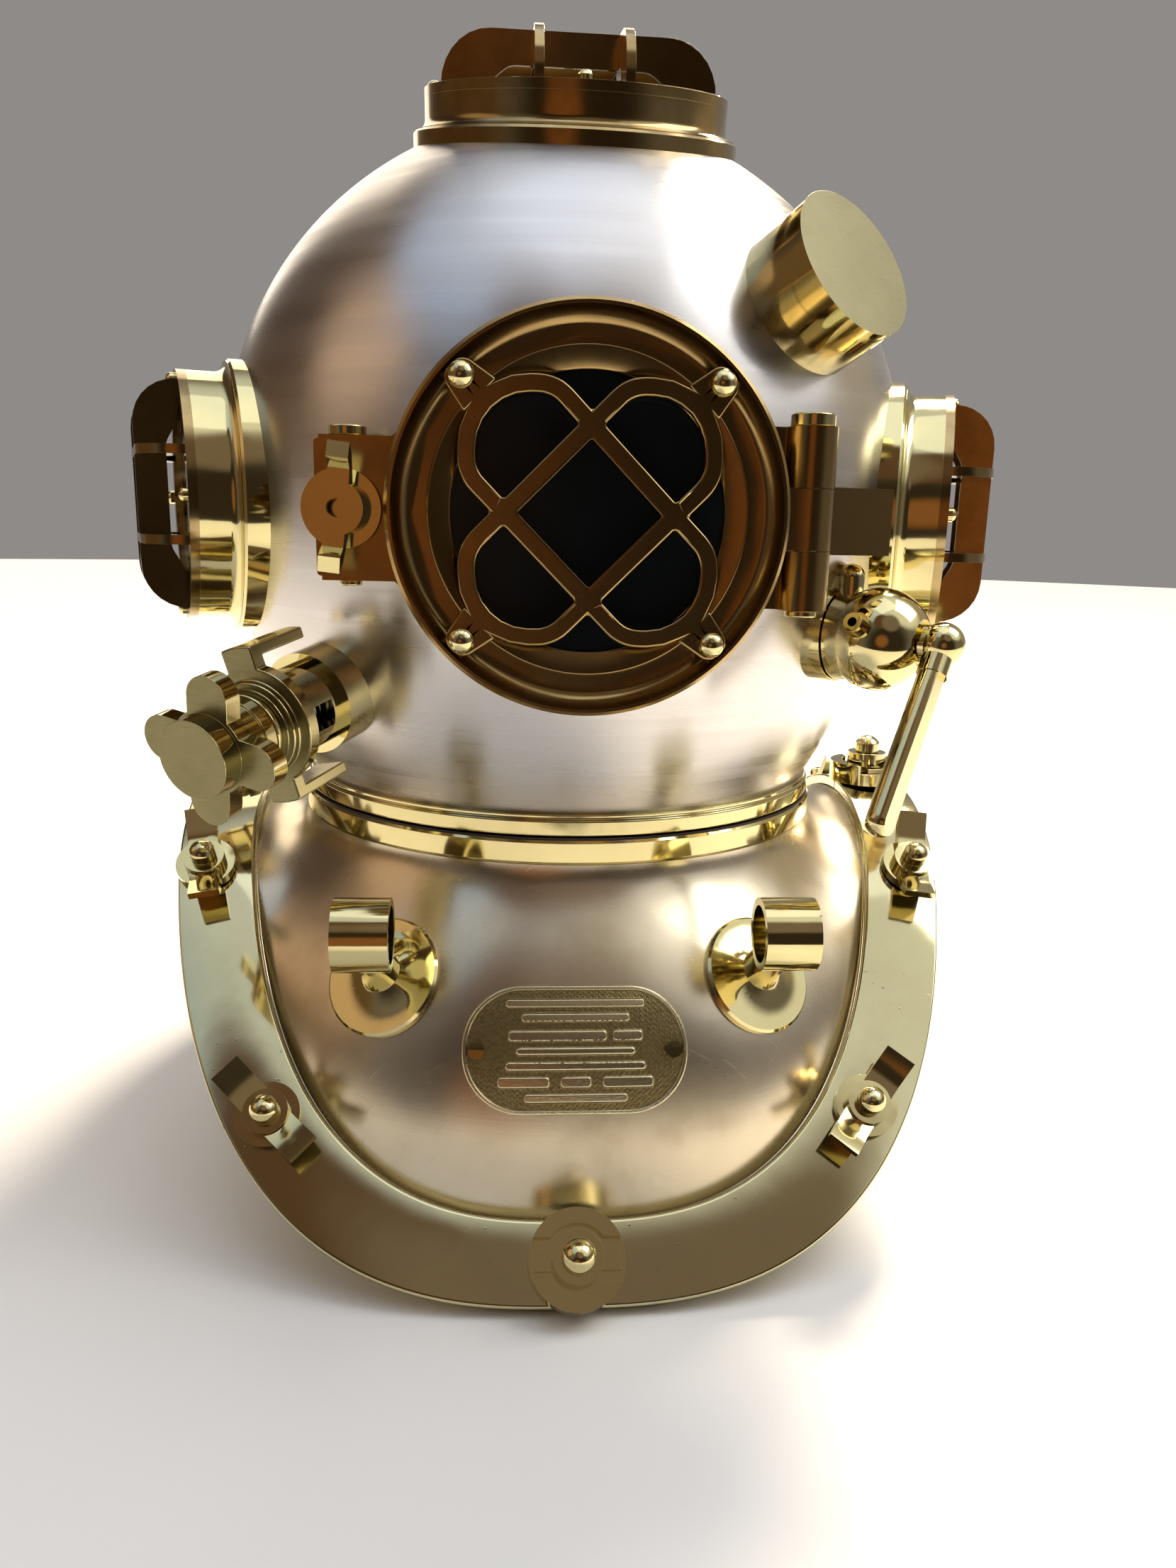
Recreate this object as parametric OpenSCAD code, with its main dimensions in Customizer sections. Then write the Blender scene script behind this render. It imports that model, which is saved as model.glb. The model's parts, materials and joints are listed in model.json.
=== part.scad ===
// Twelve-stud deep-sea diving helmet: spun bonnet on a breastplate, with door, three ports and valves.
// Millimetres. +Z up, -Y to the front, +X to the viewer's right. The neck axis is x = y = 0, the floor z = 0.

/* [Breastplate] */
// Half width of the flange and brails, shoulder to shoulder
flange_half_w = 174; // [168:0.5:182]
// Half depth of the flange and brails, front to back
flange_half_d = 198; // [192:0.5:206]
// Width of the brails seen from above at the shoulders
band_w = 32; // [30:0.5:35]
// Width of the brails seen from above at the front
band_w_front = 21.5; // [20:0.5:24]
// Squareness of the oval (2 is an ellipse)
oval_n = 2.7; // [2.4:0.05:3]
// Radius of the arched top of the brails
arch_r = 120; // [114:0.5:126]
// Slope of the straight front and rear of the arch
arch_slope = 46.5; // [44:0.25:49]
// Height of the arch centre above the floor
arch_centre_z = 39; // [36:0.25:44]
// Thickness of a brail
brail_t = 5.5; // [4:0.25:7]
// Thickness of the flange under the brails
flange_t = 3; // [2.5:0.25:4]
// Gap between the ends of two brails
brail_gap = 1.5; // [1:0.25:3]
// Radius of the breastplate shell at the neck, outside
shell_neck_r = 122.5; // [121.5:0.25:123]
// Thickness of the breastplate shell
shell_t = 2.4; // [2:0.1:3]

/* [Neck joint] */
// Height of the joint between the two brass rings
neck_z = 161.5; // [160:0.5:165]
// Height of the lower, fixed brass ring
neck_ring_h = 11; // [9:0.5:13]
// Outside radius of the lower brass ring
neck_ring_r = 123.8; // [123.2:0.1:126]
// Height of the upper brass ring
bonnet_ring_h = 9.5; // [8:0.5:12]
// Outside radius of the upper brass ring
bonnet_ring_r = 122.5; // [121.5:0.1:124]
// Thickness of the leather neck gasket
neck_gasket_t = 1; // [0.6:0.1:1.4]
// Inside radius of the neck opening
neck_open_r = 110.5; // [104:0.5:111]
// Radial depth of the bayonet lugs
lug_depth = 2.8; // [2:0.1:3.2]
// Angle that one bayonet lug spans
lug_angle = 42; // [30:1:43]

/* [Bonnet] */
// Outside radius of the bonnet
bonnet_r = 155; // [153:0.5:158]
// Thickness of the spun bonnet
bonnet_wall = 3; // [2:0.25:4]
// Height of the widest circle of the bonnet above the neck joint
bonnet_rise = 138; // [134:0.5:142]
// Outside radius of the bonnet where it meets its ring
bonnet_neck_r = 119.5; // [118:0.5:121]

/* [Front door] */
// Height of the door centre below the widest circle of the bonnet
door_drop = 12; // [8:0.5:16]
// Outside radius of the door
door_r = 69; // [66:0.5:69]
// Distance from the neck axis to the front face of the door frame
door_face = 150; // [148:0.5:153]
// Depth of the door from its back to the front of its lip
door_depth = 14.6; // [13.5:0.1:16]
// Clear radius of the door glass
door_glass_r = 47; // [44:0.5:48]
// Thickness of the door glass
door_glass_t = 6; // [5:0.5:6.5]
// Distance of the hinge axis from the door centre
hinge_x = 78.5; // [78.5:0.5:82]
// Radius of the hinge knuckles
knuckle_r = 9; // [7:0.25:9]
// Radius of the hinge pin
hinge_pin_r = 4; // [3:0.25:5]
// Half height of the door's own knuckle
knuckle_half = 10.5; // [8:0.5:13]
// Half height of the whole hinge
hinge_half = 31.5; // [28:0.5:35]
// Distance of the latch from the door centre
latch_x = 83; // [82:0.5:86]
// Radius of the latch stud
latch_stud_r = 3; // [2.5:0.25:3.5]
// Half height of the door's latch lug
latch_half = 22.5; // [20:0.5:25]
// Distance of the guard bar crossings from the door centre
guard_cross = 29; // [27:0.5:33]
// Width of the guard bars
guard_bar_w = 6.25; // [6:0.25:9]
// Half width of the guard over its lobes
guard_half = 44.5; // [42:0.5:46]
// Thickness of the guard plate
guard_t = 3.6; // [2.5:0.1:4.5]
// Distance of the guard screws from the door centre
guard_screw_d = 60.8; // [60:0.1:61]

/* [Ports] */
// Angle that the side ports are turned forward from the sides
side_port_forward = 18.5; // [14:0.5:22]
// Height of the side port centres below the widest circle of the bonnet
side_port_drop = 8; // [4:0.5:12]
// Radius of the side port flange
side_flange_r = 56; // [54:0.5:58]
// Radius of the side port barrel
side_barrel_r = 50.6; // [48:0.2:52]
// Distance from the neck axis to the outer face of the side port flange
side_flange_d = 154; // [151:0.5:157]
// Distance from the neck axis to the end of the side port barrel
side_barrel_d = 170; // [168:0.2:175]
// Height of the side port guard above its bezel
side_guard_h = 17.5; // [17:0.5:23]
// Angle that the top port leans forward
top_port_lean = 12.9; // [8:0.1:16]
// Radius of the top port flange
top_flange_r = 67.5; // [65:0.5:69]
// Radius of the top port barrel
top_barrel_r = 62.6; // [60:0.2:64]
// Distance from the bonnet centre to the outer face of the top port flange
top_flange_d = 146; // [144:0.5:149]
// Distance from the bonnet centre to the end of the top port barrel
top_barrel_d = 157.5; // [155:0.5:161]
// Height of the top port guard above its bezel
top_guard_h = 20; // [19:0.5:25]
// Thickness of a port bezel
bezel_t = 3.6; // [3:0.2:5]
// Thickness of a port glass
port_glass_t = 8; // [6:0.5:8.5]
// Thickness of the port guard strips
strip_t = 3.6; // [3:0.2:5]
// Depth of the port guard strips at the middle
strip_depth = 12; // [10:0.5:13]
// Distance of the port guard strips from the port centre
strip_off = 17; // [14:0.5:20]

/* [Receiver cup] */
// Radius of the cup
cup_r = 28; // [26:0.5:31]
// Distance from the bonnet centre to the face of the cup
cup_face_d = 179; // [175:0.5:184]
// Thickness of the cup wall
cup_wall = 2.5; // [2:0.25:4]

/* [Exhaust valve] */
// Radius of the exhaust barrel
exhaust_r = 20; // [18:0.5:22]
// Length of the wide part of the exhaust barrel
exhaust_wide_l = 30; // [27:0.5:33]
// Length of the exhaust barrel to the yoke
exhaust_l = 52; // [50:0.5:55]
// Radius over the yoke prongs
yoke_r = 30; // [28:0.5:32]
// Length of the yoke prongs
prong_l = 30; // [24:1:34]
// Radius over the lobes of the handwheel
wheel_r = 28; // [25:0.5:31]
// Thickness of the handwheel
wheel_t = 7; // [5:0.5:9]
// Travel of the exhaust disc and chin button
exhaust_travel = 6; // [4:0.5:8]

/* [Spitcock] */
// Radius of the spitcock ball
spit_ball_r = 20; // [18:0.5:21]
// Radius of the spitcock flange
spit_flange_r = 18; // [16:0.5:20]
// Length of the spitcock lever
spit_lever_l = 80; // [70:1:86]
// Distance from the spitcock base to the lever
spit_lever_d = 58.5; // [58.5:0.5:64]

/* [Fasteners] */
// Radius of the flange studs
stud_r = 4.75; // [4:0.25:5]
// Radius over the wings of a wing nut
wing_nut_r = 22.5; // [20:0.5:24]
// Radius of a wing nut hub
wing_hub_r = 12.5; // [10:0.5:13]
// Radius of a round disc nut
disc_nut_r = 18; // [16:0.5:19]

/* [Lanyard eyes and plate] */
// Radius of the dished base disc of an eye
eye_base_r = 24; // [22:0.5:26]
// Radius of the hole through an eye
eye_hole_r = 11; // [9:0.5:12]
// Thickness of the ring round the hole
eye_wall = 3; // [2.5:0.25:4]
// Length of the eye along its hole
eye_l = 21; // [18:0.5:26]
// Distance of the eye centre from the shell
eye_reach = 34; // [31:0.5:37]
// Width of the name plate
plate_w = 87; // [80:1:95]
// Height of the name plate
plate_h = 48.5; // [45:0.5:54]
// Thickness of the name plate
plate_t = 2; // [1.5:0.25:3]

/* [Rear fittings] */
// Angle of each rear elbow from straight back
elbow_angle = 30; // [24:1:36]
// Radius of an elbow tube
elbow_r = 11; // [10:0.5:12]
// Radius of the bend of an elbow
elbow_bend = 16; // [13:0.5:18]
// Radius of the non-return valve body
valve_r = 15; // [14:0.5:17]
// Length of the non-return valve body
valve_l = 40; // [36:1:46]
// Radius of the air hose thread
hose_thread_r = 13.5; // [12:0.25:13.5]
// Length of the air hose thread
hose_thread_l = 14; // [12:0.5:18]
// Travel of the non-return disc
valve_travel = 5; // [3:0.5:7]

/* [Hidden] */
$fn = 96;
fine = 288;
brass = "#c9a54b";
tinned = "#c8c7c2";
dark = "#26221d";
glass_colour = "#1c2a30";
clear_fit = 0.1;
part_gap = 0.3;
cut = 1;
far = 400;

// Heights that several pieces share
shell_top_z = neck_z - neck_ring_h;
bonnet_z = neck_z + bonnet_rise;
ring_bottom_z = neck_z + 0.6;
ring_top_z = neck_z + bonnet_ring_h;
door_z = bonnet_z - door_drop;
port_z = bonnet_z - side_port_drop;

// Points on an arc, for rounded corners and coves
function arc_points(c, r, from, to, n) =
    [for (i = [0:n]) c + r * [cos(from + (to - from) * i / n), sin(from + (to - from) * i / n)]];

// A polygon given by its corners, each [x, y, corner radius], with every corner rounded
function round_corner(p, q, s, r, n) =
    let (u = (p - q) / norm(p - q), v = (s - q) / norm(s - q), half = acos(u * v) / 2)
    let (bis = (u + v) / norm(u + v), c = q + bis * r / sin(half))
    let (a = q + u * r / tan(half) - c, b = q + v * r / tan(half) - c)
    let (start = atan2(a[1], a[0]), turn = atan2(a[0] * b[1] - a[1] * b[0], a * b))
    [for (i = [0:n]) c + r * [cos(start + turn * i / n), sin(start + turn * i / n)]];
function xy(p) = [p[0], p[1]];
function rounded(pts, n = 6) =
    let (m = len(pts))
    [for (i = [0:m - 1]) each pts[i][2] > 0
        ? round_corner(xy(pts[(i + m - 1) % m]), xy(pts[i]), xy(pts[(i + 1) % m]), pts[i][2], n)
        : [xy(pts[i])]];

// Turns +Z to a direction: azimuth from the front towards +X, and elevation. Local Y stays upwards
module aim(az, el) {
    rotate([90 - el, 0, az]) children();
}

// A ring with a square section
module ring(outer, inner, z0, z1) {
    translate([0, 0, z0]) difference() {
        cylinder(r = outer, h = z1 - z0);
        translate([0, 0, -cut]) cylinder(r = inner, h = z1 - z0 + 2 * cut);
    }
}

// Breastplate outline: radius of the squared oval at an angle from +X
function oval(a, half_w, half_d) =
    pow(pow(abs(cos(a)) / half_w, oval_n) + pow(abs(sin(a)) / half_d, oval_n), -1 / oval_n);
// Height of the arched surface that lies a given depth under the top of the brails
function arch_z(y, depth) =
    let (r = arch_r - depth)
    abs(y) < r * sin(arch_slope) ? arch_centre_z + sqrt(r * r - y * y)
        : arch_centre_z + (r - abs(y) * sin(arch_slope)) / cos(arch_slope);
// Lean of the arched surface from the vertical
function arch_lean(y) = abs(y) < arch_r * sin(arch_slope) ? asin(y / arch_r) : sign(y) * arch_slope;

inner_half_w = flange_half_w - band_w;
inner_half_d = flange_half_d - band_w_front;
oval_steps = 72;
section_steps = 10;
brail_steps = 144;
bedding = 0.15;

// Point of an oval on the arch, a given depth under its top and square to it
function arch_point(a, half_w, half_d, depth) =
    let (r = oval(a, half_w, half_d), y = r * sin(a), lean = arch_lean(y))
    [r * cos(a), y - depth * sin(lean), arch_z(y, 0) - depth * cos(lean)];

// One layer of the flange, between two depths under the top of the brails, with square edges
module arch_layer(depth0, depth1, gap) {
    n = brail_steps;
    pts = [for (i = [0:n - 1]) let (a = i * 360 / n)
        each [arch_point(a, flange_half_w, flange_half_d, depth0),
            arch_point(a, inner_half_w + gap, inner_half_d + gap, depth0),
            arch_point(a, inner_half_w + gap, inner_half_d + gap, depth1),
            arch_point(a, flange_half_w, flange_half_d, depth1)]];
    polyhedron(pts, [for (i = [0:n - 1]) for (j = [0:3])
        let (a = 4 * i + j, b = 4 * i + (j + 1) % 4)
        let (d = 4 * ((i + 1) % n) + j, c = 4 * ((i + 1) % n) + (j + 1) % 4)
        each j == 2 ? [[a, b, d], [b, c, d]] : [[a, b, c], [a, c, d]]]);
}

// Shell section at an angle: a curve from the neck, flaring out and down to the flange
function bezier(a, b, c, d, t) =
    a * pow(1 - t, 3) + 3 * b * t * pow(1 - t, 2) + 3 * c * t * t * (1 - t) + d * pow(t, 3);
function shell_point(a, t, skin) =
    let (q = arch_point(a, inner_half_w - part_gap, inner_half_d - part_gap, brail_t))
    let (er = norm(xy(q)), ez = q[2], dir = xy(q) / er, w = pow(abs(dir[1]), 1.5))
    let (n = [shell_neck_r, shell_top_z], e = [er, ez])
    let (b = n - [0, 8 + 14 * w])
    let (c = [er - 3 - 1.5 * w, ez + 0.74 * (shell_top_z - ez) * w - 6 * (1 - w)])
    let (n2 = n - [skin, 0], b2 = b - [skin, skin / 2])
    let (c2 = c - [0.9, 0.9] * skin, e2 = e - [0.75 + 0.45 * w, 1.1 - 0.4 * w] * skin)
    let (p = bezier(n2, b2, c2, e2, t))
    [p[0] * dir[0], p[0] * dir[1], p[1]];
function shell_normal(a, t) =
    let (d = 0.01)
    let (u = shell_point(a + 1, t, 0) - shell_point(a - 1, t, 0))
    let (v = shell_point(a, t + d, 0) - shell_point(a, t - d, 0))
    let (c = cross(v, u)) c / norm(c);
function lifted(a, t, lift) = shell_point(a, t, 0) + lift * shell_normal(a, min(max(t, 0.02), 0.98));

function grid_faces(first, n, m, flip) =
    [for (i = [0:n - 1]) for (j = [0:m - 1])
        let (a = first + i * (m + 1) + j, b = a + 1)
        let (d = first + ((i + 1) % n) * (m + 1) + j, c = d + 1)
        each flip ? [[a, b, c], [a, c, d]] : [[a, d, c], [a, c, b]]];

// The whole space under the shell's outer skin, lifted by a height, for seating pieces on the shell
module shell_space(lift) {
    n = oval_steps;
    m = section_steps;
    skin = [for (i = [0:n - 1]) for (j = [0:m]) lifted(i * 360 / n, j / m, lift)];
    top = n * (m + 1);
    polyhedron(concat(skin, [[0, 0, shell_top_z], [0, 0, -20]]),
        concat(grid_faces(0, n, m, false),
            [for (i = [0:n - 1]) [top, ((i + 1) % n) * (m + 1), i * (m + 1)]],
            [for (i = [0:n - 1]) [top + 1, i * (m + 1) + m, ((i + 1) % n) * (m + 1) + m]]));
}

module breastplate_shell() {
    n = oval_steps;
    m = section_steps;
    outer = [for (i = [0:n - 1]) for (j = [0:m]) shell_point(i * 360 / n, j / m, 0)];
    inner = [for (i = [0:n - 1]) for (j = [0:m]) shell_point(i * 360 / n, j / m, shell_t)];
    k = n * (m + 1);
    rim = [for (i = [0:n - 1])
        let (a = i * (m + 1), b = ((i + 1) % n) * (m + 1))
        each [[k + a, k + b, b], [k + a, b, a], [k + a + m, a + m, b + m], [k + a + m, b + m, k + b + m]]];
    color(tinned)
        polyhedron(concat(outer, inner), concat(grid_faces(0, n, m, false), grid_faces(k, n, m, true), rim));
}

// Studs: polar angle from +X. Those beside the shoulders stand a little outside the middle of the brail
stud_angles = [0, -25, -51.5, -90, -128.5, -155, 180, 155, 128.5, 90, 51.5, 25];
stud_out = 4;
function stud_xy(a) =
    let (out = abs(abs(abs(a) - 90) - 65) < 5 ? stud_out : 0)
    (oval(a, (flange_half_w + inner_half_w) / 2, (flange_half_d + inner_half_d) / 2) + out) * [cos(a), sin(a)];
module at_stud(a) {
    p = stud_xy(a);
    translate([p[0], p[1], arch_z(p[1], 0)]) rotate([-arch_lean(p[1]), 0, 0]) children();
}
function is_joint_stud(a) = a % 90 == 0;

module stud_holes() {
    for (a = stud_angles)
        at_stud(a) translate([0, 0, -brail_t - flange_t - 6]) cylinder(r = stud_r + 0.15, h = 30);
}

module breastplate_flange() {
    color(brass) difference() {
        arch_layer(brail_t + bedding, brail_t + flange_t, 0);
        stud_holes();
        translate([-far, -far, -far]) cube([2 * far, 2 * far, far]);
    }
}

module brail(sx, sy) {
    color(brass) difference() {
        intersection() {
            arch_layer(0, brail_t, part_gap);
            translate([sx > 0 ? brail_gap / 2 : -far, sy > 0 ? brail_gap / 2 : -far, 0]) cube(far - brail_gap / 2);
        }
        stud_holes();
    }
}

// Height of the nuts above the brail, and of the domed stud ends
nut_foot = part_gap;
wing_nut_h = 9;
disc_nut_h = 15;

module stud_end(top, dome) {
    union() {
        translate([0, 0, -brail_t - flange_t - 3]) cylinder(r = stud_r, h = top + brail_t + flange_t + 3);
        translate([0, 0, -brail_t - flange_t - 4]) cylinder(r = stud_r + 3, h = 4 - 4 * part_gap);
        intersection() {
            translate([0, 0, top + 0.4]) cylinder(r = dome, h = 8);
            translate([0, 0, top + 1.5]) sphere(r = dome + 0.8);
        }
        translate([0, 0, top - cut]) cylinder(r = stud_r, h = 2 * cut);
    }
}

module flange_studs() {
    color(brass) for (a = stud_angles)
        at_stud(a) if (is_joint_stud(a)) stud_end(disc_nut_h, 6);
        else stud_end(wing_nut_h, 5.2);
}

module wing_nut() {
    half_wing = 6.3;
    color(brass) difference() {
        union() {
            translate([0, 0, nut_foot]) cylinder(r = wing_hub_r, h = 4.2);
            translate([0, 0, nut_foot]) cylinder(r = 8.6, h = wing_nut_h - nut_foot);
            for (s = [0, 180])
                rotate([90, 0, s]) linear_extrude(height = 2 * half_wing, center = true)
                    polygon([[6, nut_foot + 1], [wing_hub_r, 3.6], [wing_nut_r - 4, 7], [wing_nut_r, 10],
                        [wing_nut_r, 14], [wing_nut_r - 5, 11.6], [wing_hub_r, 8.4], [6, 7.6]]);
        }
        translate([0, 0, -cut]) cylinder(r = stud_r + clear_fit, h = 30);
    }
}

module disc_nut() {
    bar_w = 7.7;
    rim_w = 5.5;
    color(brass) difference() {
        union() {
            translate([0, 0, nut_foot]) cylinder(r = disc_nut_r, h = 6);
            translate([0, 0, nut_foot]) cylinder(r = 9.5, h = disc_nut_h - nut_foot);
            difference() {
                translate([0, 0, nut_foot + 6 - cut]) cylinder(r = disc_nut_r, h = 4 + cut);
                translate([0, 0, nut_foot + 5]) cylinder(r = disc_nut_r - rim_w, h = 8);
                translate([-disc_nut_r - cut, -bar_w, nut_foot + 5]) cube([2 * disc_nut_r + 2 * cut, 2 * bar_w, 8]);
            }
            translate([-disc_nut_r + 2, -bar_w / 2, nut_foot + 5]) cube([2 * disc_nut_r - 4, bar_w, 3.4]);
        }
        translate([0, 0, -cut]) cylinder(r = stud_r + clear_fit, h = 40);
    }
}

// Turn of a nut about its stud, so that its wings lie along the brail
function nut_turn(a) = let (p = stud_xy(a), q = stud_xy(a + 4)) atan2(q[1] - p[1], q[0] - p[0]);
module nut(k) {
    a = stud_angles[k];
    at_stud(a) rotate([0, 0, is_joint_stud(a) ? 90 + a : nut_turn(a)])
        if (is_joint_stud(a)) disc_nut();
        else wing_nut();
}

// Bayonet joint: lugs under the neck ring's lugs, freed by an eighth of a turn
spigot_r = neck_open_r + 3.5;
lug_r = spigot_r + lug_depth + 0.4;
neck_bore_r = lug_r + 0.4;
module lugs(outer, inner, z0, z1, turn) {
    for (i = [0:3])
        rotate([0, 0, i * 90 + turn - lug_angle / 2])
            rotate_extrude(angle = lug_angle) translate([inner, z0]) square([outer - inner, z1 - z0]);
}

module neck_ring() {
    liner_r = shell_neck_r - shell_t - 0.2;
    color(brass) union() {
        rotate_extrude() polygon([[neck_bore_r, shell_top_z + cut], [neck_bore_r, neck_z - 0.6],
            [neck_ring_r - 1, neck_z - 0.6], [neck_ring_r, neck_z - 1.6], [neck_ring_r, shell_top_z + 1.5],
            [neck_ring_r - 1.5, shell_top_z], [liner_r, shell_top_z], [liner_r, shell_top_z - 10],
            [spigot_r - 2, shell_top_z - 10], [spigot_r - 2, shell_top_z - 7],
            [neck_bore_r, shell_top_z - 7]]);
        lugs(neck_bore_r + 0.5, spigot_r + 0.4, shell_top_z + 1.2, shell_top_z + 6, 0);
    }
}

module neck_gasket() {
    color(dark) ring(neck_ring_r - 1.2, neck_bore_r + 0.6, neck_z - 0.6, neck_z - 0.6 + neck_gasket_t - 0.1);
}

module bonnet_ring() {
    color(brass) union() {
        rotate_extrude() polygon([[neck_open_r, shell_top_z - 6.4], [spigot_r, shell_top_z - 6.4],
            [spigot_r, ring_bottom_z], [bonnet_ring_r - 0.8, ring_bottom_z],
            [bonnet_ring_r, ring_bottom_z + 0.8], [bonnet_ring_r, ring_top_z - 2.4],
            [bonnet_ring_r - 1.2, ring_top_z - 1.6], [bonnet_ring_r - 1.2, ring_top_z],
            [neck_open_r, ring_top_z]]);
        lugs(lug_r, spigot_r - 0.5, shell_top_z - 5.4, shell_top_z + 0.6, 0);
    }
}

// Bonnet form: a half sphere over a bowl that draws in to the neck, inset from the outside
bowl_h = bonnet_z - ring_top_z;
bowl_off = (bowl_h * bowl_h - bonnet_r * bonnet_r + bonnet_neck_r * bonnet_neck_r)
    / (2 * (bonnet_r - bonnet_neck_r));
module bonnet_form(inset, bottom) {
    rotate_extrude($fn = fine) union() {
        intersection() {
            translate([0, bonnet_z]) circle(r = bonnet_r - inset, $fn = fine);
            translate([0, bonnet_z]) square([far, far]);
        }
        intersection() {
            translate([-bowl_off, bonnet_z]) circle(r = bonnet_r + bowl_off - inset, $fn = fine);
            translate([0, bottom]) square([far, bonnet_z - bottom]);
        }
    }
}
module bonnet_outer() {
    bonnet_form(0, ring_top_z);
}

// Places: door, ports, cup and fittings, each with local +Z pointing outwards
module at_door() {
    translate([0, 0, door_z]) aim(0, 0) children();
}
module at_side(s) {
    translate([0, 0, port_z]) aim(s * (90 - side_port_forward), 0) children();
}
module at_top() {
    translate([0, 0, bonnet_z]) aim(0, 90 - top_port_lean) children();
}
module at_cup() {
    translate([0, 0, bonnet_z]) aim(36.2, 25.7) children();
}
exhaust_at = [-90, -93, neck_z + 58];
exhaust_az = -28;
exhaust_el = -10;
module at_exhaust() {
    translate(exhaust_at) aim(exhaust_az, exhaust_el) children();
}
spit_at = [93.5, -100, neck_z + 81.7];
spit_az = 47;
module at_spit() {
    translate(spit_at) aim(spit_az, 0) children();
}
elbow_drop = 20;
module at_elbow(s) {
    translate([0, 0, bonnet_z - elbow_drop]) aim(s * (180 - elbow_angle), 0) children();
}

// Sizes of the port pieces, worked out from the barrel
glass_ledge = 10;
glass_pocket = 4.5;
spigot_wall = 2.5;
function port_open_r(barrel_r) = barrel_r - glass_ledge;

door_open_r = door_glass_r + 2;
cup_hole_r = cup_r - 6;
exhaust_spigot_r = exhaust_r - 3;
spit_spigot_r = 9;
elbow_spigot_r = elbow_r - 1.5;
module bonnet_holes(g) {
    at_door() cylinder(r = door_open_r + 3 + g, h = far);
    for (s = [-1, 1]) at_side(s) cylinder(r = port_open_r(side_barrel_r) + spigot_wall + g, h = far);
    at_top() cylinder(r = port_open_r(top_barrel_r) + spigot_wall + g, h = far);
    at_cup() cylinder(r = cup_hole_r + g, h = far);
    at_exhaust() translate([0, 0, -30]) cylinder(r = exhaust_spigot_r + g, h = 60);
    at_spit() translate([0, 0, -30]) cylinder(r = spit_spigot_r + g, h = 60);
    for (s = [-1, 1]) at_elbow(s) cylinder(r = elbow_spigot_r + g, h = far);
}

module bonnet_shell() {
    color(tinned) difference() {
        bonnet_outer();
        bonnet_form(bonnet_wall, ring_top_z - cut);
        bonnet_holes(clear_fit);
    }
}

// Door frame with hinge knuckles, bracket and latch lug, all in the door's local frame
frame_r = door_r + 0.5;
hinge_axis_d = door_face + 0.2;
latch_slot_half = 6.3;
latch_pin_d = door_face - 8;
latch_pin_r = 2.5;
frame_lug_half = latch_half + 2;
module vertical(x, z, r, y0, y1) {
    translate([x, y1, z]) rotate([90, 0, 0]) cylinder(r = r, h = y1 - y0);
}
module door_frame() {
    spigot_back = 128;
    color(brass) difference() {
        union() {
            difference() {
                at_door() union() {
                    translate([0, 0, 100]) cylinder(r = frame_r, h = door_face - 100);
                    for (s = [-1, 1]) translate([60, s > 0 ? knuckle_half + part_gap : -hinge_half, 100])
                        cube([hinge_x + knuckle_r - 61, hinge_half - knuckle_half - part_gap, door_face - 100.6]);
                    translate([0, 12.4, 0]) rotate([90, 0, 0]) linear_extrude(height = 24.8)
                        polygon([[84, 131], [119, 122], [119, 80], [84, 80]]);
                    translate([-latch_x - 9, -frame_lug_half, 100])
                        cube([40, 2 * frame_lug_half, door_face - 100.6]);
                }
                bonnet_outer();
            }
            at_door() translate([0, 0, spigot_back]) cylinder(r = door_open_r + 3, h = door_face - cut - spigot_back);
            at_door() for (s = [-1, 1])
                vertical(hinge_x, hinge_axis_d, knuckle_r, s > 0 ? knuckle_half + part_gap : -hinge_half,
                    s > 0 ? hinge_half : -knuckle_half - part_gap);
        }
        at_door() translate([0, 0, 90]) cylinder(r = door_open_r, h = 100);
        at_door() ring(62, 56, door_face - 1.2, door_face + cut);
        at_door() vertical(hinge_x, hinge_axis_d, knuckle_r + 0.8, -knuckle_half - part_gap,
            knuckle_half + part_gap);
        at_door() vertical(hinge_x, hinge_axis_d, hinge_pin_r + 0.05, -hinge_half - cut, hinge_half + cut);
        at_door() translate([-latch_x - 7, -latch_slot_half, door_face - 15])
            cube([14, 2 * latch_slot_half, 20]);
        at_door() vertical(-latch_x, latch_pin_d, latch_pin_r + 0.05, -frame_lug_half - cut,
            frame_lug_half + cut);
    }
}

module hinge_and_latch_pins() {
    head = 4.5;
    color(brass) at_door() {
        union() {
            vertical(hinge_x, hinge_axis_d, hinge_pin_r, -hinge_half - cut, hinge_half + cut);
            vertical(hinge_x, hinge_axis_d, 7.8, hinge_half + 0.05, hinge_half + head);
            vertical(hinge_x, hinge_axis_d, 6, -hinge_half - 2.5, -hinge_half - 0.05);
        }
        union() {
            vertical(-latch_x, latch_pin_d, latch_pin_r, -frame_lug_half - cut, frame_lug_half + cut);
            vertical(-latch_x, latch_pin_d, 6.5, frame_lug_half + 0.05, frame_lug_half + 3.5);
            vertical(-latch_x, latch_pin_d, 4, -frame_lug_half - 2, -frame_lug_half - 0.05);
        }
    }
}

latch_stud_end = door_face + 19;
module latch_stud() {
    color(brass) at_door() difference() {
        union() {
            vertical(-latch_x, latch_pin_d, 6, -latch_slot_half + part_gap, latch_slot_half - part_gap);
            translate([-latch_x, 0, latch_pin_d]) cylinder(r = latch_stud_r, h = latch_stud_end - latch_pin_d);
        }
        vertical(-latch_x, latch_pin_d, latch_pin_r + 0.05, -20, 20);
    }
}

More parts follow.
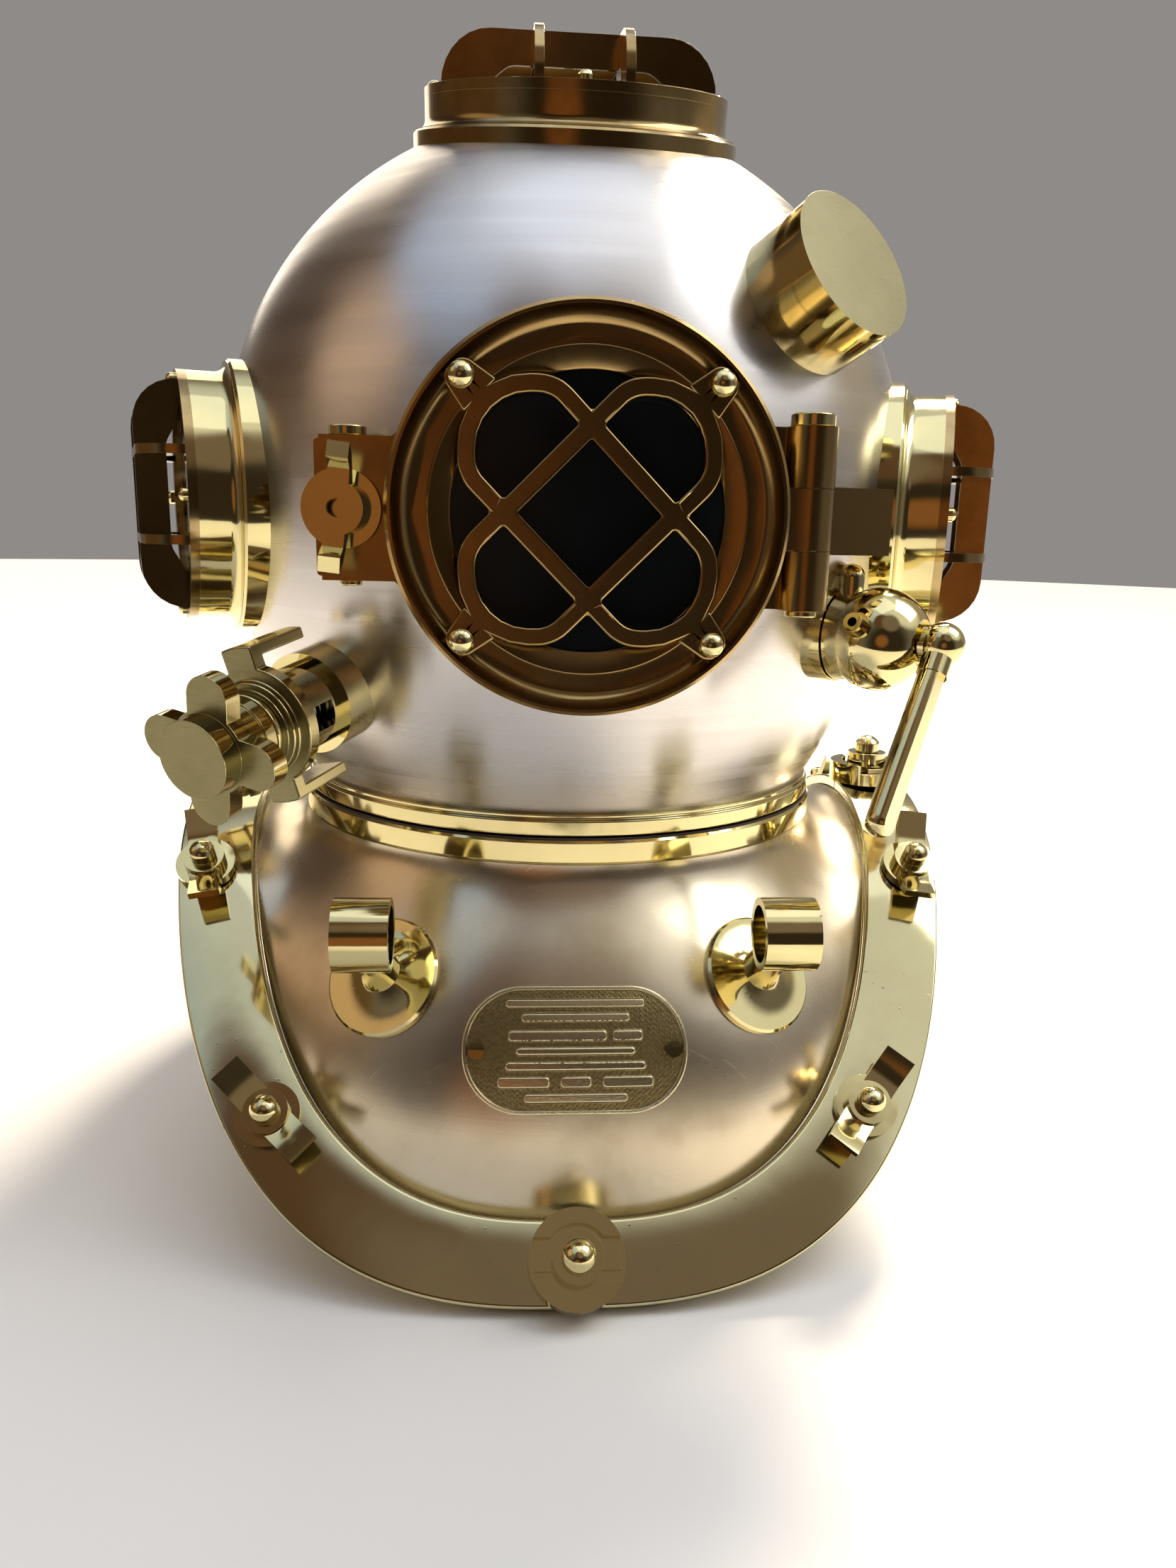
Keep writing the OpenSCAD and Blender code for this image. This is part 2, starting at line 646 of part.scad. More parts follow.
// Door: a cast dish with a lip, a seat for the glass, a latch lug and a hinge knuckle
door_back = door_face + 0.45;
door_lip = door_back + door_depth;
dish_low = door_lip - 6.2;
glass_seat = door_back + 1.6;
glass_back = glass_seat + 1;
bezel_back = glass_back + door_glass_t + 0.2;
bezel_r = door_glass_r + 8.2;
pocket_r = door_glass_r + 6;
function dish_z(r) = r > 60.5 ? dish_low + 4.6 * pow((r - 60.5) / 5.5, 2)
    : dish_low;
module door_profile() {
    rotate_extrude() polygon(concat([[door_glass_r + 0.5, door_back], [door_r, door_back],
        [door_r, door_lip - 1.2], [door_r - 1.2, door_lip], [door_r - 2.2, door_lip]],
        [for (r = [door_r - 3:-1.05:bezel_r + 0.4]) [r, dish_z(r)]],
        [[bezel_r + 0.3, dish_z(bezel_r + 0.3)], [bezel_r + 0.3, bezel_back], [pocket_r, bezel_back],
        [pocket_r, glass_seat], [door_glass_r + 0.5, glass_seat]]));
}
door_lug_front = door_back + 9.6;
module door_ring() {
    color(brass) at_door() difference() {
        union() {
            door_profile();
            difference() {
                union() {
                    translate([0, 0, door_back]) linear_extrude(height = door_lug_front - door_back)
                        polygon(rounded([[-latch_x - 9, latch_half, 1.5], [-latch_x - 9, -latch_half, 1.5],
                            [-66, -latch_half, 8], [-54, -43, 0], [-40, 0, 0], [-54, 43, 0],
                            [-66, latch_half, 8]]));
                    translate([60, -knuckle_half, door_back]) cube([hinge_x - 60, 2 * knuckle_half, 8.2]);
                    vertical(hinge_x, hinge_axis_d, knuckle_r, -knuckle_half, knuckle_half);
                }
                translate([0, 0, 100]) cylinder(r = door_r - 2, h = 100);
            }
        }
        vertical(hinge_x, hinge_axis_d, hinge_pin_r + 0.05, -30, 30);
        translate([-latch_x, 0, door_back - cut]) cylinder(r = 5.5, h = 20);
        for (a = [45:90:315]) rotate([0, 0, a]) translate([guard_screw_d, 0, dish_low - 4])
            cylinder(r = 1.6, h = 10);
    }
}
module door_glass() {
    color(glass_colour) at_door() translate([0, 0, glass_back])
        cylinder(r = pocket_r - 0.3, h = door_glass_t);
}
module door_gasket() {
    color(dark) at_door() union() {
        ring(pocket_r - 0.3, door_glass_r + 0.6, glass_seat, glass_back);
        ring(61.9, 56.1, door_face - 1.2, door_face + 0.15);
    }
}
module door_bezel() {
    color(brass) at_door() rotate_extrude() polygon([[door_glass_r, bezel_back],
        [bezel_r, bezel_back], [bezel_r, bezel_back + 1.9], [bezel_r - 0.7, bezel_back + 2.4],
        [door_glass_r + 0.8, bezel_back + 1], [door_glass_r, bezel_back + 0.6]]);
}

// Guard: diagonal bars through a rounded quatrefoil, with four ears
guard_back = bezel_back + 4;
module lobe(inset) {
    // Corners of one lobe, on the diagonal of the first quarter, with the bar lines as its sides
    k = guard_cross + guard_bar_w / sqrt(2) - inset * sqrt(2);
    e = guard_half - inset;
    base = guard_cross - guard_bar_w / sqrt(2) + inset * sqrt(2);
    polygon(rounded([[e - k, e, 16 - inset], [e, e, 24 - inset], [e, e - k, 16 - inset],
        [(base + k) / 2, (base - k) / 2, 1.2], [(base - k) / 2, (base + k) / 2, 1.2]]));
}
module guard_outline() {
    difference() {
        union() {
            for (q = [0:90:270]) rotate(q) difference() {
                lobe(0);
                lobe(guard_bar_w);
            }
            for (q = [45:90:315]) rotate(q) polygon(rounded([[52, -7.5, 0], [guard_screw_d + 4.8, -4.8, 4.7],
                [guard_screw_d + 4.8, 4.8, 4.7], [52, 7.5, 0]]));
        }
        for (q = [45:90:315]) rotate(q) translate([guard_screw_d, 0]) circle(r = 1.75);
    }
}
module door_guard() {
    color(brass) at_door() union() {
        translate([0, 0, guard_back]) linear_extrude(height = guard_t) guard_outline();
        difference() {
            for (a = [45:90:315]) rotate([0, 0, a]) translate([guard_screw_d, 0, dish_low - 0.5])
                ring(4.6, 1.75, 0, guard_back - dish_low + 0.5 + cut);
            door_profile();
        }
    }
}
module door_screws() {
    color(brass) at_door() for (a = [45:90:315]) rotate([0, 0, a])
        translate([guard_screw_d, 0, guard_back + guard_t]) union() {
            translate([0, 0, -10]) cylinder(r = 1.6, h = 11);
            intersection() {
                translate([0, 0, 0.05]) cylinder(r = 4.4, h = 5);
                sphere(r = 4.8);
            }
        }
}

module door_wing_nut() {
    collar_r = 13.2;
    hub_r = 8.8;
    span = 20.5;
    back = door_lug_front + part_gap;
    color(brass) at_door() translate([-latch_x, 0, back]) rotate([0, 0, -6]) difference() {
        union() {
            cylinder(r = collar_r, h = 3.2);
            cylinder(r = hub_r, h = 15.5);
            for (s = [0, 180])
                rotate([90, 0, 90 + s]) linear_extrude(height = 7, center = true)
                    polygon([[4, 5], [hub_r, 5.5], [span - 3, 13], [span, 20], [span - 5, 21.5],
                        [span - 8, 15.5], [4, 15]]);
        }
        translate([0, 0, -cut]) cylinder(r = latch_stud_r + 1.1, h = 12);
        cylinder(r = latch_stud_r, h = 40);
    }
}

// Ports: frame, glass, gasket, and a bezel that carries a guard of crossed strips
module port_frame(flange_r, barrel_r, flange_d, barrel_d) {
    open_r = port_open_r(barrel_r);
    cove = min(flange_r - barrel_r - 1, barrel_d - flange_d - 4);
    rotate_extrude() polygon(concat([[open_r, 100], [flange_r, 100], [flange_r, flange_d - 1.2],
        [flange_r - 1.2, flange_d], [barrel_r + cove, flange_d]],
        arc_points([barrel_r + cove, flange_d + cove], cove, 270, 180, 5),
        [[barrel_r, barrel_d], [barrel_r - glass_pocket, barrel_d],
        [barrel_r - glass_pocket, barrel_d - port_glass_t - 1.4], [open_r, barrel_d - port_glass_t - 1.4]]));
}
module seated_port(flange_r, barrel_r, flange_d, barrel_d, part) {
    open_r = port_open_r(barrel_r);
    if (part == "body") port_frame(flange_r, barrel_r, flange_d, barrel_d);
    if (part == "spigot") ring(open_r + spigot_wall, open_r, 136, flange_d - 2);
}
module side_port(s) {
    color(brass) union() {
        difference() {
            at_side(s) seated_port(side_flange_r, side_barrel_r, side_flange_d, side_barrel_d, "body");
            bonnet_outer();
        }
        at_side(s) seated_port(side_flange_r, side_barrel_r, side_flange_d, side_barrel_d, "spigot");
    }
}
module top_port() {
    color(brass) union() {
        difference() {
            at_top() seated_port(top_flange_r, top_barrel_r, top_flange_d, top_barrel_d, "body");
            bonnet_outer();
        }
        at_top() seated_port(top_flange_r, top_barrel_r, top_flange_d, top_barrel_d, "spigot");
    }
}
module port_glass(barrel_r, barrel_d) {
    translate([0, 0, barrel_d - port_glass_t - 0.2])
        cylinder(r = barrel_r - glass_pocket - 0.3, h = port_glass_t);
}
module port_gasket(barrel_r, barrel_d) {
    ring(barrel_r - glass_pocket - 0.3, port_open_r(barrel_r) + 0.4, barrel_d - port_glass_t - 1.4,
        barrel_d - port_glass_t - 0.2);
}
module port_glasses() {
    color(glass_colour) {
        for (s = [-1, 1]) at_side(s) port_glass(side_barrel_r, side_barrel_d);
        at_top() port_glass(top_barrel_r, top_barrel_d);
    }
}
module port_gaskets() {
    color(dark) {
        for (s = [-1, 1]) at_side(s) port_gasket(side_barrel_r, side_barrel_d);
        at_top() port_gasket(top_barrel_r, top_barrel_d);
    }
}

screw_in = 4.2;
module port_guard(barrel_r, barrel_d, height, inset) {
    base = barrel_d + bezel_t;
    foot = barrel_r - inset;
    inner = foot - height + 1;
    low = height - strip_depth;
    union() {
        ring(barrel_r, port_open_r(barrel_r) + 2, barrel_d, base);
        for (turn = [0, 90]) rotate([0, 0, turn]) for (s = [-1, 1])
            translate([0, s * strip_off, base - 0.6]) rotate([90, 0, 0])
                linear_extrude(height = strip_t, center = true)
                    difference() {
                        polygon(concat([[-foot, 0]],
                            arc_points([-foot + height, 0.6], height, 180, 90, 7),
                            arc_points([foot - height, 0.6], height, 90, 0, 7), [[foot, 0]]));
                        polygon(rounded([[-inner - 6, -2, 0], [-inner + 8, low + 0.6, 8],
                            [inner - 8, low + 0.6, 8], [inner + 6, -2, 0]], 4));
                    }
    }
}
module drilled_guard(barrel_r, barrel_d, height, inset) {
    color(brass) difference() {
        port_guard(barrel_r, barrel_d, height, inset);
        for (a = [0:90:270]) rotate([0, 0, a]) translate([barrel_r - screw_in, 0, barrel_d - cut])
            cylinder(r = 1.3, h = 12);
    }
}
module port_screw_set(barrel_r, barrel_d) {
    for (a = [0:90:270]) rotate([0, 0, a]) translate([barrel_r - screw_in, 0, barrel_d + bezel_t]) union() {
        translate([0, 0, -bezel_t + 0.1]) cylinder(r = 1.25, h = bezel_t + 1);
        intersection() {
            translate([0, 0, 0.05]) cylinder(r = 2.9, h = 5);
            sphere(r = 3.4);
        }
    }
}
module port_screws() {
    color(brass) {
        for (s = [-1, 1]) at_side(s) port_screw_set(side_barrel_r, side_barrel_d);
        at_top() port_screw_set(top_barrel_r, top_barrel_d);
    }
}

// Receiver cup, closed at its face and open to the inside of the bonnet
module receiver_cup() {
    color(brass) difference() {
        at_cup() translate([0, 0, 100]) cylinder(r = cup_r, h = cup_face_d - 100);
        bonnet_outer();
        at_cup() translate([0, 0, 90]) cylinder(r = cup_hole_r, h = bonnet_r - 90);
        at_cup() translate([0, 0, bonnet_r - 4]) cylinder(r = cup_r - cup_wall, h = cup_face_d - bonnet_r + 4 - cup_wall);
    }
}
module receiver() {
    color(dark) at_cup() translate([0, 0, cup_face_d - cup_wall - 14.3]) difference() {
        cylinder(r = cup_r - cup_wall - part_gap, h = 14);
        translate([0, 0, -cut]) cylinder(r = 13, h = 4 + cut);
    }
}

// Exhaust valve
disc_seat = 20;
stem_r = 3;
module exhaust_body() {
    color(brass) difference() {
        union() {
            difference() {
                at_exhaust() union() {
                    translate([0, 0, -26]) cylinder(r = exhaust_r, h = exhaust_wide_l + 26);
                    cylinder(r = exhaust_r - 3.5, h = exhaust_l);
                }
                bonnet_outer();
            }
            at_exhaust() translate([0, 0, -14]) cylinder(r = exhaust_spigot_r, h = 24);
        }
        at_exhaust() translate([0, 0, -40]) cylinder(r = exhaust_r - 6, h = 33);
        at_exhaust() difference() {
            translate([0, 0, -7.5]) cylinder(r = exhaust_r - 6, h = disc_seat + 7.5);
            translate([-far / 2, -2.5, -4]) cube([far, 5, 4]);
        }
        at_exhaust() translate([0, 0, -10]) cylinder(r = stem_r + 0.12, h = 20);
        at_exhaust() cylinder(r = 10, h = exhaust_l + cut);
        at_exhaust() translate([0, 0, disc_seat + 3]) cylinder(r = 12.2, h = exhaust_l);
        at_exhaust() translate([-far / 2, -5, exhaust_wide_l + 5]) cube([far, 10, 12]);
    }
}
module exhaust_yoke() {
    t = 5.7;
    prong_w = 14;
    prong_t = 5;
    neck_r = 15;
    color(brass) at_exhaust() translate([0, 0, exhaust_l]) rotate([0, 0, 12]) union() {
        cylinder(r = 22, h = t);
        intersection() {
            union() {
                translate([-prong_w / 2, -yoke_r, 0]) cube([prong_w, 2 * yoke_r, t]);
                for (s = [-1, 1])
                    translate([-prong_w / 2, s > 0 ? yoke_r - prong_t : -yoke_r, t - prong_l])
                        cube([prong_w, prong_t, prong_l]);
            }
            translate([0, 0, -prong_l]) cylinder(r = yoke_r, h = 2 * prong_l);
        }
        translate([0, 0, t - cut]) cylinder(r = neck_r + 2.5, h = 4);
        translate([0, 0, t]) cylinder(r = neck_r, h = 8.5);
        cylinder(r = 5, h = 31);
    }
}
wheel_back = exhaust_l + 14.5;
module exhaust_handwheel() {
    lobe_r = 8.5;
    plate_z = 12;
    color(brass) at_exhaust() translate([0, 0, wheel_back]) difference() {
        union() {
            cylinder(r = 14.6, h = 5);
            translate([0, 0, 5.4 - cut]) cylinder(r = 13.8, h = 1.4 + cut);
            translate([0, 0, 6]) cylinder(r = 14.6, h = plate_z - 6);
            translate([0, 0, plate_z]) linear_extrude(height = wheel_t) union() {
                circle(r = 15.5);
                for (a = [-10:90:260]) rotate(a) union() {
                    translate([wheel_r - lobe_r, 0]) circle(r = lobe_r);
                    translate([0, -lobe_r]) square([wheel_r - lobe_r, 2 * lobe_r]);
                }
            }
            translate([0, 0, plate_z + wheel_t - cut]) cylinder(r = 14.3, h = 8 + cut);
        }
        translate([0, 0, -cut]) cylinder(r = 5.1, h = 19);
    }
}
module exhaust_stem() {
    color(brass) at_exhaust() union() {
        translate([0, 0, disc_seat + 3.1]) cylinder(r = 11.4, h = 2.6);
        translate([0, 0, -20]) cylinder(r = stem_r, h = disc_seat + 36);
        translate([0, 0, -24]) cylinder(r = 12, h = 5);
    }
}
module exhaust_spring() {
    color("silver") at_exhaust() ring(9, 5.4, disc_seat + 6, exhaust_l - 0.3);
}

// Spitcock: flange, ball, nozzle and plug, with a quarter-turn lever on the outer end
ball_d = 33;
lever_rest = -35;
nozzle_lift = 18;
module at_nozzle() {
    at_spit() translate([0, 0, ball_d]) rotate([0, 0, -nozzle_lift]) rotate([0, -90, 0]) children();
}
module spitcock_body() {
    plug_r = 5.5;
    plug_top = 28.5;
    color(brass) difference() {
        union() {
            difference() {
                at_spit() union() {
                    translate([0, 0, -16]) cylinder(r = spit_flange_r, h = 32.4);
                    translate([0, 0, 17]) cylinder(r = spit_flange_r - 0.8, h = 6.5);
                    cylinder(r = spit_flange_r - 3, h = 20);
                    translate([0, 0, ball_d - 13.5]) rotate([-90, 0, 0]) cylinder(r = plug_r, h = plug_top - plug_r);
                    translate([0, plug_top - plug_r, ball_d - 13.5]) sphere(r = plug_r);
                }
                bonnet_outer();
            }
            at_spit() translate([0, 0, -12]) cylinder(r = spit_spigot_r, h = 30);
            at_spit() translate([0, 0, ball_d]) sphere(r = spit_ball_r);
            at_nozzle() cylinder(r = 4.9, h = spit_ball_r + 1.5);
            at_nozzle() cylinder(r = 3.6, h = spit_ball_r + 6);
        }
        at_spit() translate([0, 0, -30]) cylinder(r = 4.5, h = 30 + ball_d);
        at_nozzle() cylinder(r = 1.8, h = spit_ball_r + 20);
        at_spit() translate([0, 0, ball_d + spit_ball_r - 3.4]) cylinder(r = 9, h = 20);
        at_spit() translate([0, 0, ball_d + 4]) cylinder(r = 4.56, h = 60);
    }
}
module spitcock_lever() {
    boss = spit_lever_d;
    top_r = 5.2;
    tip_r = 6.3;
    flat = 7.6;
    color(brass) at_spit() rotate([0, 0, lever_rest]) union() {
        translate([0, 0, ball_d + 6]) cylinder(r = 4.5, h = boss - ball_d - 6);
        translate([0, 0, ball_d + spit_ball_r - 3.2]) cylinder(r = 7.2, h = boss - ball_d - spit_ball_r + 3.2);
        translate([0, 0, boss]) sphere(r = 8.5);
        translate([0, 0, boss]) rotate([90, 0, 0]) union() {
            translate([0, 0, 5]) cylinder(r = 5.8, h = 8.5);
            intersection() {
                union() {
                    translate([0, 0, 5]) cylinder(r1 = top_r, r2 = tip_r, h = spit_lever_l - tip_r - 5);
                    translate([0, 0, spit_lever_l - tip_r]) sphere(r = tip_r);
                }
                translate([-20, -flat / 2, 0]) cube([40, flat, 120]);
            }
        }
    }
}

// Rear elbows: radial stub, bend down, and what hangs under it
flange_seat = 20;
elbow_out = bonnet_r + 11;
drop_axis = elbow_out + elbow_bend;
elbow_end = elbow_bend + 24;
module down_tube(r, y0, y1) {
    translate([0, -y0, drop_axis]) rotate([90, 0, 0]) cylinder(r = r, h = y1 - y0);
}
module elbow(s, extra) {
    color(brass) difference() {
        union() {
            difference() {
                at_elbow(s) translate([0, 0, 100]) cylinder(r = 19, h = bonnet_r - 96);
                bonnet_outer();
            }
            at_elbow(s) translate([0, 0, 140]) cylinder(r = elbow_spigot_r, h = 20);
            at_elbow(s) translate([0, 0, bonnet_r]) cylinder(r = elbow_r, h = elbow_out - bonnet_r);
            at_elbow(s) translate([0, -elbow_bend, elbow_out]) rotate([90, 0, 90])
                rotate_extrude(angle = 90) translate([elbow_bend, 0]) circle(r = elbow_r);
            at_elbow(s) down_tube(elbow_r, elbow_bend, elbow_end);
            at_elbow(s) down_tube(elbow_r + 2.4, elbow_end - 4, elbow_end);
            if (extra == "gland") at_elbow(s) translate([0, -elbow_end, drop_axis]) rotate([90, 0, 0])
                cylinder(r = 14, h = 16, $fn = 6);
        }
        at_elbow(s) translate([0, 0, 130]) cylinder(r = 7, h = elbow_out - 130 + 0.01);
        at_elbow(s) translate([0, -elbow_bend, elbow_out]) rotate([90, 0, 90])
            rotate_extrude(angle = 90) translate([elbow_bend, 0]) circle(r = 7);
        at_elbow(s) down_tube(7, elbow_bend - 0.01, elbow_end + 30);
    }
}
module air_elbow() {
    elbow(1, "air");
}
module cable_elbow() {
    elbow(-1, "gland");
}
valve_top = elbow_end;
valve_end = valve_top + valve_l;
module air_valve_body() {
    color(brass) difference() {
        at_elbow(1) union() {
            down_tube(valve_r, valve_top, valve_end);
            down_tube(hose_thread_r, valve_end - cut, valve_end + hose_thread_l);
        }
        at_elbow(1) down_tube(7, valve_top - cut, valve_end + hose_thread_l + cut);
        at_elbow(1) down_tube(12, valve_top + 4, valve_end - 6);
    }
}
module air_valve_disc() {
    color("silver") at_elbow(1) union() {
        down_tube(11.4, valve_end - 8.6, valve_end - 6.1);
        down_tube(3, valve_end - 16, valve_end - 8);
    }
}
module air_valve_spring() {
    color("silver") at_elbow(1) difference() {
        down_tube(9, valve_top + 4.3, valve_end - 8.9);
        down_tube(5.4, valve_top, valve_end);
    }
}

// Lanyard eyes and name plate, seated on the shell
eye_a = 61;
eye_t = 0.56;
plate_at_t = 0.7;
function azimuth(n) = atan2(n[0], -n[1]);
function elevation(n) = asin(n[2] / norm(n));
module at_shell(a, t) {
    n = shell_normal(a, t);
    translate(shell_point(a, t, 0)) aim(azimuth(n), elevation(n)) children();
}
eye_to = [5, -22, 26];
module at_eye(s, a) {
    v = eye_reach * eye_to / norm(eye_to);
    translate(shell_point(a, eye_t, 0) + [s * v[0], v[1], v[2]]) children();
}
module lanyard_eye(s) {
    a = s < 0 ? eye_a - 180 : -eye_a;
    lean = atan2(eye_to[0], -eye_to[1]);
    outer_r = eye_hole_r + eye_wall;
    color(brass) difference() {
        union() {
            difference() {
                union() {
                    at_shell(a, eye_t) translate([0, 0, -6]) rotate_extrude()
                        polygon(concat([[0, 0], [eye_base_r, 0], [eye_base_r, 6.6], [eye_base_r - 1, 7.6]],
                            [for (k = [1:6]) let (r = (eye_base_r - 2) * (1 - k / 6) + 5 * k / 6)
                                [r, 7.4 + 4 * pow(k / 6, 2.2)]], [[0, 11.4]]));
                    translate(shell_point(a, eye_t, 0)) aim(s * lean, asin(eye_to[2] / norm(eye_to)))
                        translate([0, 0, -5]) cylinder(r1 = 9, r2 = 6, h = eye_reach - eye_hole_r + 4);
                }
                shell_space(0);
            }
            at_eye(s, a) rotate([0, 90, 0]) cylinder(r = outer_r, h = eye_l, center = true);
        }
        at_eye(s, a) rotate([0, 90, 0]) cylinder(r = eye_hole_r, h = eye_l + 20, center = true);
    }
}

module plate_outline(w, h) {
    r = h / 2 - 1;
    polygon(rounded([[w / 2, h / 2, r], [-w / 2, h / 2, r], [-w / 2, -h / 2, r], [w / 2, -h / 2, r]], 8));
}
rivet_x = plate_w / 2 - 5.5;
module name_plate() {
    color(brass) difference() {
        intersection() {
            at_shell(-90, plate_at_t) translate([0, 0, -30]) linear_extrude(height = 60)
                plate_outline(plate_w, plate_h);
            shell_space(plate_t);
        }
        shell_space(0);
        for (s = [-1, 1]) at_shell(-90, plate_at_t) translate([s * rivet_x, 0, -30]) cylinder(r = 1.6, h = 60);
    }
}
module plate_rivets() {
    head_h = 1.5;
    color(brass) difference() {
        intersection() {
            for (s = [-1, 1]) at_shell(-90, plate_at_t) translate([s * rivet_x, 0, -30]) cylinder(r = 3.2, h = 60);
            shell_space(plate_t + head_h);
        }
        difference() {
            shell_space(plate_t);
            for (s = [-1, 1]) at_shell(-90, plate_at_t) translate([s * rivet_x, 0, -30]) cylinder(r = 1.5, h = 60);
        }
        shell_space(0);
    }
}

breastplate_shell();
breastplate_flange();
neck_ring();
neck_gasket();
flange_studs();
brail(-1, -1);  // brail_front_left
brail(1, -1);  // brail_front_right
brail(-1, 1);  // brail_rear_left
brail(1, 1);  // brail_rear_right
lanyard_eye(-1);  // lanyard_eye_left
lanyard_eye(1);  // lanyard_eye_right
name_plate();
plate_rivets();
nut(0);  // nut_shoulder_right
nut(1);  // nut_front_right_2
nut(2);  // nut_front_right_1
nut(3);  // nut_front
nut(4);  // nut_front_left_1
nut(5);  // nut_front_left_2
nut(6);  // nut_shoulder_left
nut(7);  // nut_rear_left_2
nut(8);  // nut_rear_left_1
nut(9);  // nut_rear
nut(10);  // nut_rear_right_1
nut(11);  // nut_rear_right_2
bonnet_shell();
bonnet_ring();
door_frame();
hinge_and_latch_pins();
latch_stud();
side_port(-1);  // side_port_left
side_port(1);  // side_port_right
top_port();
port_glasses();
port_gaskets();
port_screws();
at_side(-1) drilled_guard(side_barrel_r, side_barrel_d, side_guard_h, 5.5);  // guard_left
at_side(1) drilled_guard(side_barrel_r, side_barrel_d, side_guard_h, 5.5);  // guard_right
at_top() drilled_guard(top_barrel_r, top_barrel_d, top_guard_h, 7.5);  // guard_top
receiver_cup();
receiver();
exhaust_body();
exhaust_yoke();
exhaust_spring();
exhaust_stem();
exhaust_handwheel();
spitcock_body();
spitcock_lever();
air_elbow();
air_valve_body();
air_valve_disc();
air_valve_spring();
cable_elbow();
door_ring();
door_glass();
door_gasket();
door_bezel();
door_guard();
door_screws();
door_wing_nut();
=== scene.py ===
import json
import math

import bmesh
import bpy
import numpy as np
from mathutils import Matrix, Vector

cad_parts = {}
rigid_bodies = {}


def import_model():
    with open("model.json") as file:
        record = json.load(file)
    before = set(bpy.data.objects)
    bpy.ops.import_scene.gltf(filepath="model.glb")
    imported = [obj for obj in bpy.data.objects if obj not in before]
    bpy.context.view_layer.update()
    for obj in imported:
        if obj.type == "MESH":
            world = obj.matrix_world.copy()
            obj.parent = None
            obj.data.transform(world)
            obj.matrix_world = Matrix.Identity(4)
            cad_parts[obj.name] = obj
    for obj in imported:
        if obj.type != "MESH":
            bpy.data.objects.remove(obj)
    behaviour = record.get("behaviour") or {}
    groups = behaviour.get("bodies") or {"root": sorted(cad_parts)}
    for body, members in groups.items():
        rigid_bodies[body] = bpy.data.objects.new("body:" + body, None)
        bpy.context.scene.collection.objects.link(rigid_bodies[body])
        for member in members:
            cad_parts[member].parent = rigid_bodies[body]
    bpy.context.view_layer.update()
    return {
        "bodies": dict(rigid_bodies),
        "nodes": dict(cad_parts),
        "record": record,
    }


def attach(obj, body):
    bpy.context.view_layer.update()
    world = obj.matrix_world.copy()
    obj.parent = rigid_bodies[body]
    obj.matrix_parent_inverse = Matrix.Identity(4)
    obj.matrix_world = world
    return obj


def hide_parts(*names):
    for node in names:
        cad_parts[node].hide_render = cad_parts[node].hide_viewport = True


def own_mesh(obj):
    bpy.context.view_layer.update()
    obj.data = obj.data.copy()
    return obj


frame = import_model()
nodes = frame["nodes"]

# Camera. It stands where the photograph was taken: about 55 cm in front of the neck axis, a little to
# the left, and above the door, looking 13 degrees down.
MM = 0.001
cam_at = np.array([-28.5, -551.5, 284.5]) * MM
cam_yaw, cam_pitch, cam_roll = 0.078, -0.229, 0.025
look = np.array([math.sin(cam_yaw) * math.cos(cam_pitch), math.cos(cam_yaw) * math.cos(cam_pitch),
                 math.sin(cam_pitch)])
level = np.array([math.cos(cam_yaw), -math.sin(cam_yaw), 0.0])
upright = np.cross(level, look)
cam_x = level * math.cos(cam_roll) + upright * math.sin(cam_roll)
cam_y = upright * math.cos(cam_roll) - level * math.sin(cam_roll)
cam_data = bpy.data.cameras.new("camera")
cam_data.sensor_fit = "HORIZONTAL"
cam_data.sensor_width = 36.0
cam_data.lens = 34.2
camera = bpy.data.objects.new("camera", cam_data)
bpy.context.scene.collection.objects.link(camera)
camera.matrix_world = Matrix([[cam_x[i], cam_y[i], -look[i], cam_at[i]] for i in range(3)]
                             + [[0, 0, 0, 1]])
bpy.context.scene.camera = camera


# Floor and light. A pale painted table, a warm window behind on the right and a paler one behind on the
# left, and faint skylight from the right and above. The room round them is what the metal reflects.
def linear(code):
    """sRGB hex colour as linear light: c/12.92 below 0.04045, else ((c + 0.055)/1.055)^2.4."""
    c = [int(code[i:i + 2], 16) / 255 for i in (1, 3, 5)]
    return tuple(v / 12.92 if v <= 0.04045 else ((v + 0.055) / 1.055) ** 2.4 for v in c) + (1.0,)


def add(tree, kind, inputs=None, out=0, **settings):
    """Adds one node and gives one of its outputs. inputs: socket name or number to value, hex or link."""
    n = tree.nodes.new("ShaderNode" + kind)
    for name, value in settings.items():
        setattr(n, name, value)
    for name, value in (inputs or {}).items():
        if isinstance(value, bpy.types.NodeSocket):
            tree.links.new(value, n.inputs[name])
        else:
            n.inputs[name].default_value = linear(value) if isinstance(value, str) else value
    return n.outputs[out] if len(n.outputs) else None


def direction(az, el):
    """Unit vector at an azimuth from the front towards +X and an elevation, in degrees."""
    az, el = math.radians(az), math.radians(el)
    return np.array([math.sin(az) * math.cos(el), -math.cos(az) * math.cos(el), math.sin(el)])


LIT_POINT = Vector((0, 0, 0.25))


def area_light(name, az, el, away, size, watts, colour):
    """A square soft light at a direction and distance from the bonnet, turned towards it."""
    data = bpy.data.lights.new(name, "AREA")
    data.size = size
    data.energy = watts
    data.color = linear(colour)[:3]
    ob = bpy.data.objects.new(name, data)
    bpy.context.scene.collection.objects.link(ob)
    ob.location = LIT_POINT + Vector(direction(az, el)) * away
    ob.rotation_euler = (LIT_POINT - ob.location).to_track_quat("-Z", "Y").to_euler()


